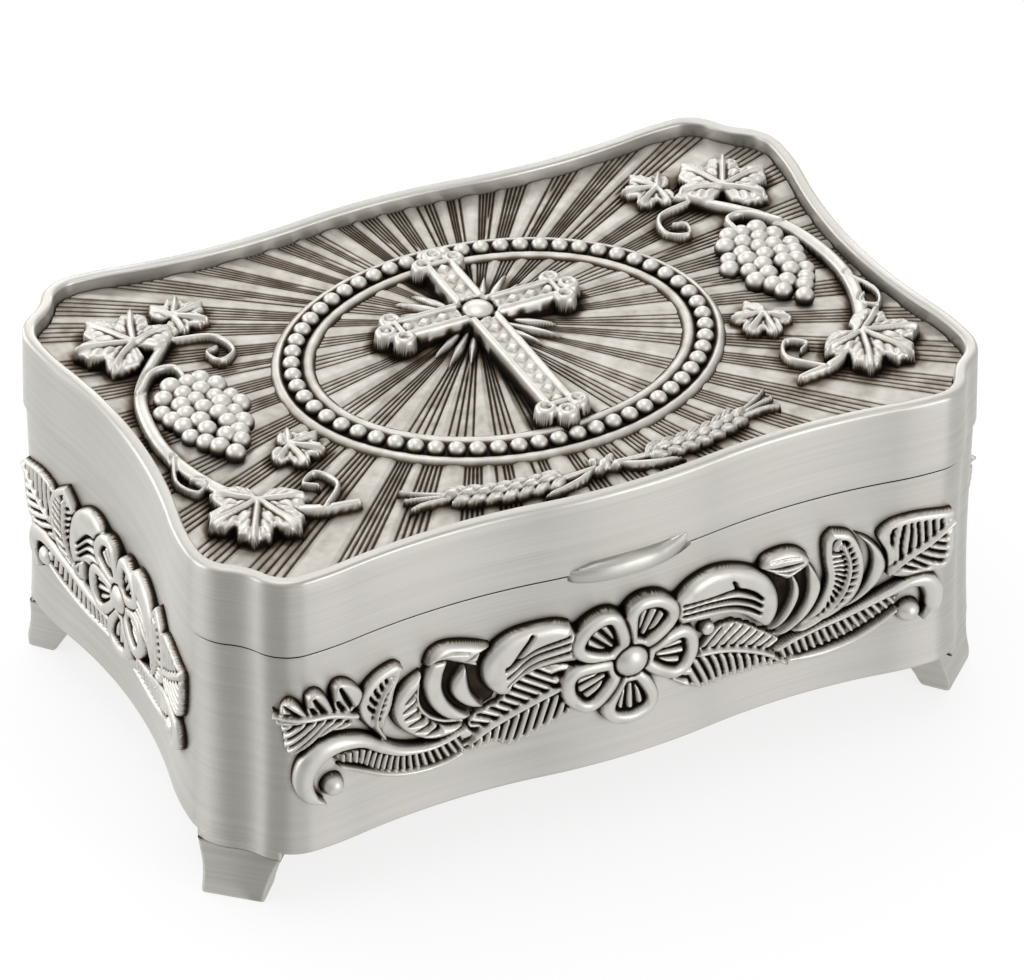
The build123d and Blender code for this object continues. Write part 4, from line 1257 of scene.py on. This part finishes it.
def medallion_rim():
    """The oval's edge: a bevel, a channel for the beads and a raised ring inside it."""
    angle = np.linspace(0, 2 * pi, 720, endpoint=False)
    rings = [np.stack([(MEDALLION[0] - d) * np.cos(angle), (MEDALLION[1] - d) * np.sin(angle),
                       np.full(len(angle), GROUND + h)], axis=1) for d, h in RIM_SECTION]
    co = np.concatenate(rings)
    shade = np.repeat(np.interp(RIM_SECTION[:, 0], *RIM_SHADE), len(angle))
    mesh_object("medallion_rim", co, grid_faces(len(rings), len(angle))[:, ::-1], "lid", "antique_pewter", shade)


def plaque_piece():
    """The relief plaque: a cross on a beaded medallion, on a ground of rays, between vines and wheat."""
    vine, wheat, cross = vine_drawing(), wheat_drawing(), cross_drawing()
    edge = PLAN + NORMAL * (-RIM_WIDTH - PLAQUE_GAP)
    angle = directions(3600)
    ground = polar_ground("plaque_ground", reach_of(oval(0.1, 1440), angle), reach_of(edge, angle), 24, 0.0,
                          rays(46, 5, 7), 0.13, 0.24, 0.16, ((vine, 1), (vine, -1), (wheat, 1)))
    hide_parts("lid_plaque")
    angle = directions(2400)
    lines, starts = rays(30, 4, 11)
    polar_ground("medallion_ground", np.full(len(angle), 0.3), reach_of(oval(5.3, 1440), angle), 22,
                 MEDALLION_GROUND, (lines, np.maximum(starts * 0.3, 4.5)), 0.11, 0.22, 0.18, ((cross, 1),))
    medallion_rim()
    balls("medallion_beads", [(x, y, 0.62, 1.12) for x, y in oval(2.45, BEADS)])
    for side, flip in (("right", 1), ("left", -1)):
        grapes("grapes_" + side, flip)
    for side, flip in (("right", 1), ("left", -1)):
        vine.mesh("vine_" + side, lid_carrier(flip), "lid")
    wheat.mesh("wheat", lid_carrier(), "lid")
    cross.mesh("cross", lid_carrier(), "lid")
    count = len(edge)
    sides = [(k, count + k, count + (k + 1) % count, (k + 1) % count) for k in range(count)]
    flat_plate("plaque_plate", edge, GROUND - 0.35, DECK_TOP, [tuple(range(count))] + sides, "antique_pewter")


# ================================================================ lining
def pad_piece(name, node, body, bottom, top, crown, facing=1):
    """A velvet pad cut to the plan, with a soft rolled edge and a slight crown."""
    inset = WALL + 0.3
    rings = []
    for pull, rise in ((0.0, 0.0), (0.0, 0.45), (0.25, 0.75), (0.7, 0.92), (1.6, 1.0)):
        height = (top - crown - bottom) * rise
        rings.append(at_height(PLAN - NORMAL * (inset + pull), bottom + height if facing > 0 else top - height))
    flat = rings[-1]
    for share in (0.9, 0.78, 0.62, 0.44, 0.24):
        ring = flat.copy()
        ring[:, :2] *= share
        ring[:, 2] += facing * crown * (1 - share ** 3)
        rings.append(ring)
    co = np.concatenate(rings + [[(0, 0, flat[0, 2] + facing * crown)]])
    count = len(PLAN)
    last = (len(rings) - 1) * count
    faces = [tuple(q[::-1]) for q in grid_faces(len(rings), count)]
    faces += [(last + k, last + (k + 1) % count, len(co) - 1) for k in range(count)]
    faces += [tuple(range(count))[::-1]]
    if facing < 0:
        faces = [face[::-1] for face in faces]
    piece = mesh_object(name, co, faces, body, "velvet")
    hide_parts(node)


LINING_BOTTOM, LINING_TOP = 11.8, SEAM - 1.5
LINING_GAP = 0.1            # between the wall and its lining
LINING_THICKNESS = 1.0
LINING_CORNER = (47.872, 30.637)    # the strips meet on a line through this place
LINING_MEET = radians(41.2)         # and in this direction


def wall_lining_pieces():
    """Four velvet strips, each with rolled top and bottom edges."""
    outer = -WALL - LINING_GAP
    inner = outer - LINING_THICKNESS
    section = dense(rounded([(outer, LINING_BOTTOM, 0.1), (outer, LINING_TOP, 0.15), (inner, LINING_TOP, 0.42),
                             (inner, LINING_BOTTOM, 0.42)], 4), 3.0)
    x, y = PLAN.T
    on_long = np.abs(y) - LINING_CORNER[1] > np.tan(LINING_MEET) * (np.abs(x) - LINING_CORNER[0])
    for node, chosen in (("wall_lining_front", on_long & (y < 0)), ("wall_lining_back", on_long & (y > 0)),
                         ("wall_lining_left", ~on_long & (x < 0)), ("wall_lining_right", ~on_long & (x > 0))):
        co, faces = strip_mesh(stretch(chosen)[1:-1], section)
        piece = mesh_object(node + "_velvet", co, faces, "base", "velvet")
        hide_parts(node)


# ================================================================ scene
def camera():
    """The camera of the photograph."""
    data = bpy.data.cameras.new("camera")
    data.lens = CAMERA_LENS
    data.sensor_width = 36.0
    data.sensor_fit = "HORIZONTAL"
    data.clip_start = 0.01
    data.clip_end = 20.0
    eye = linked("camera", data)
    azimuth, elevation = radians(CAMERA_AZIMUTH), radians(CAMERA_ELEVATION)
    look = Vector((sin(azimuth) * cos(elevation), cos(azimuth) * cos(elevation), -sin(elevation)))
    turn = look.to_track_quat("-Z", "Y").to_matrix() @ Matrix.Rotation(radians(CAMERA_ROLL), 3, "Z")
    eye.matrix_world = Matrix.Translation(CAMERA_PLACE) @ turn.to_4x4()
    bpy.context.scene.camera = eye


LAMP_TARGET = (0, 0, 0.025)
LAMPS = (                   # place, width and height, and power of each soft box
    ("top", (-0.05, 0.15, 0.85), (0.6, 0.6), 1.8),
    ("back", (0.35, 0.75, 0.45), (0.7, 0.25), 1.35),
    ("left", (-0.75, 0.16, 0.26), (0.45, 0.5), 1.6),
    ("far_left", (-0.42, 0.82, 0.24), (0.6, 0.5), 2.2),
    ("right", (0.42, -0.85, 0.25), (0.40, 0.4), 2.2),
)
FLAG = radians(221)         # direction of the world's dark gap and of the dark sector painted into the floor's reflections, which give the front corner its bands
FLAG_FOOT = (-0.047, -0.031)


def lamp(name, place, size, power):
    """A soft box that points at the object."""
    data = bpy.data.lights.new(name, "AREA")
    data.shape = "RECTANGLE"
    data.size, data.size_y = size
    data.energy = power
    away = Vector(LAMP_TARGET) - Vector(place)
    turn = away.to_track_quat("-Z", "Y").to_matrix().to_4x4()
    linked(name, data).matrix_world = Matrix.Translation(place) @ turn


def studio():
    """Soft boxes all round, but for a dark gap where the flag stands."""
    for settings in LAMPS:
        lamp(*settings)
    world = bpy.data.worlds.new("studio")
    bpy.context.scene.world = world
    world.use_nodes = True
    w = Wires(world.node_tree)
    axes = w.axes("Generated")
    gap = w.plus(w.times(axes[0], cos(FLAG)), w.times(axes[1], sin(FLAG)))
    soft = w.fed("ShaderNodeBackground", {"Color": w.blend(w.ramp(gap, 0.76, 0.94), grey(0.92), grey(0.52))})
    w.fed("ShaderNodeOutputWorld", [soft.outputs[0]])
    bpy.context.scene.view_settings.view_transform = "Standard"


def floor():
    """A pale floor. What looks at it straight or in a mirror sees it lifted to white, with its shadow.

    In the metal a painted reflection darkens the sector towards the flag: glossy rays see that part of the floor
    partly black.
    """
    material, w, shader = node_material("pale_floor")
    w.fill(shader, {"Base Color": w.blend(w.noise(w.place(), 40, 3.0), grey(0.86), grey(0.88)), "Roughness": 0.8})
    ray = w.node("ShaderNodeLightPath").outputs
    seen = w.math("MAXIMUM", w.math("MAXIMUM", ray["Is Camera Ray"], ray["Is Glossy Ray"]),
                  ray["Is Transmission Ray"])
    white = w.fed("ShaderNodeEmission", {"Color": BACKGROUND})
    lifted = w.mixed(w.times(seen, 0.78), shader.outputs[0], white.outputs[0])
    axes = w.axes()
    bearing = w.math("ARCTAN2", w.minus(axes[1], FLAG_FOOT[1]), w.minus(axes[0], FLAG_FOOT[0]))
    facing = w.math("COSINE", w.minus(bearing, FLAG))
    # Painted reflection: glossy rays see this sector of the floor partly black, as if a dark flag stood there.
    painted_flag_reflection = w.times(w.ramp(facing, 0.8, 0.94), w.times(ray["Is Glossy Ray"], 0.38))
    black = w.fed("ShaderNodeEmission", {"Strength": 0.0})
    output = next(node for node in w.tree.nodes if node.type == "OUTPUT_MATERIAL")
    w.put(output.inputs[0], w.mixed(painted_flag_reflection, lifted, black.outputs[0]))
    bpy.ops.mesh.primitive_plane_add(size=6.0, location=(0, 0, 0))
    plane = bpy.context.object
    plane.name = "floor"
    plane.data.materials.append(material)


def main():
    """The base, the lid, the lining, the pieces shown as in the part, and the studio."""
    long_relief, short_relief = long_drawing(), short_drawing()
    for name, relief, short, flip in (
        ("front_garland", long_relief, False, 1), ("back_garland", long_relief, False, -1),
        ("left_garland", short_relief, True, 1), ("right_garland", short_relief, True, -1),
    ):
        piece = relief.mesh(name + "_casting", wall_carrier(short, flip), "base")
        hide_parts(name)
    base_wall_piece(long_relief, short_relief)
    for end, flip_y in (("front", -1), ("back", 1)):
        for side, flip_x in (("left", -1), ("right", 1)):
            foot_piece(f"foot_{end}_{side}", (flip_x, flip_y))
    lid_frame_piece()
    finger_tab_piece()
    plaque_piece()
    pad_piece("floor_pad", "floor_lining", "base", FOOT_HEIGHT + 1.5, FOOT_HEIGHT + 3.0, 0.25)
    pad_piece("lid_pad", "lid_lining", "lid", DECK_BOTTOM - 1.2, DECK_BOTTOM, 0.2, facing=-1)
    wall_lining_pieces()
    satin = FINISH["satin_pewter"]
    for node, material in (("base_plate", satin), ("hinge_base_leaf", satin), ("hinge_lid_leaf", satin),
                           ("hinge_pin", drawn_steel())):
        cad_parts[node].data.materials.clear()
        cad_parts[node].data.materials.append(material)
    camera()
    studio()
    floor()


main()
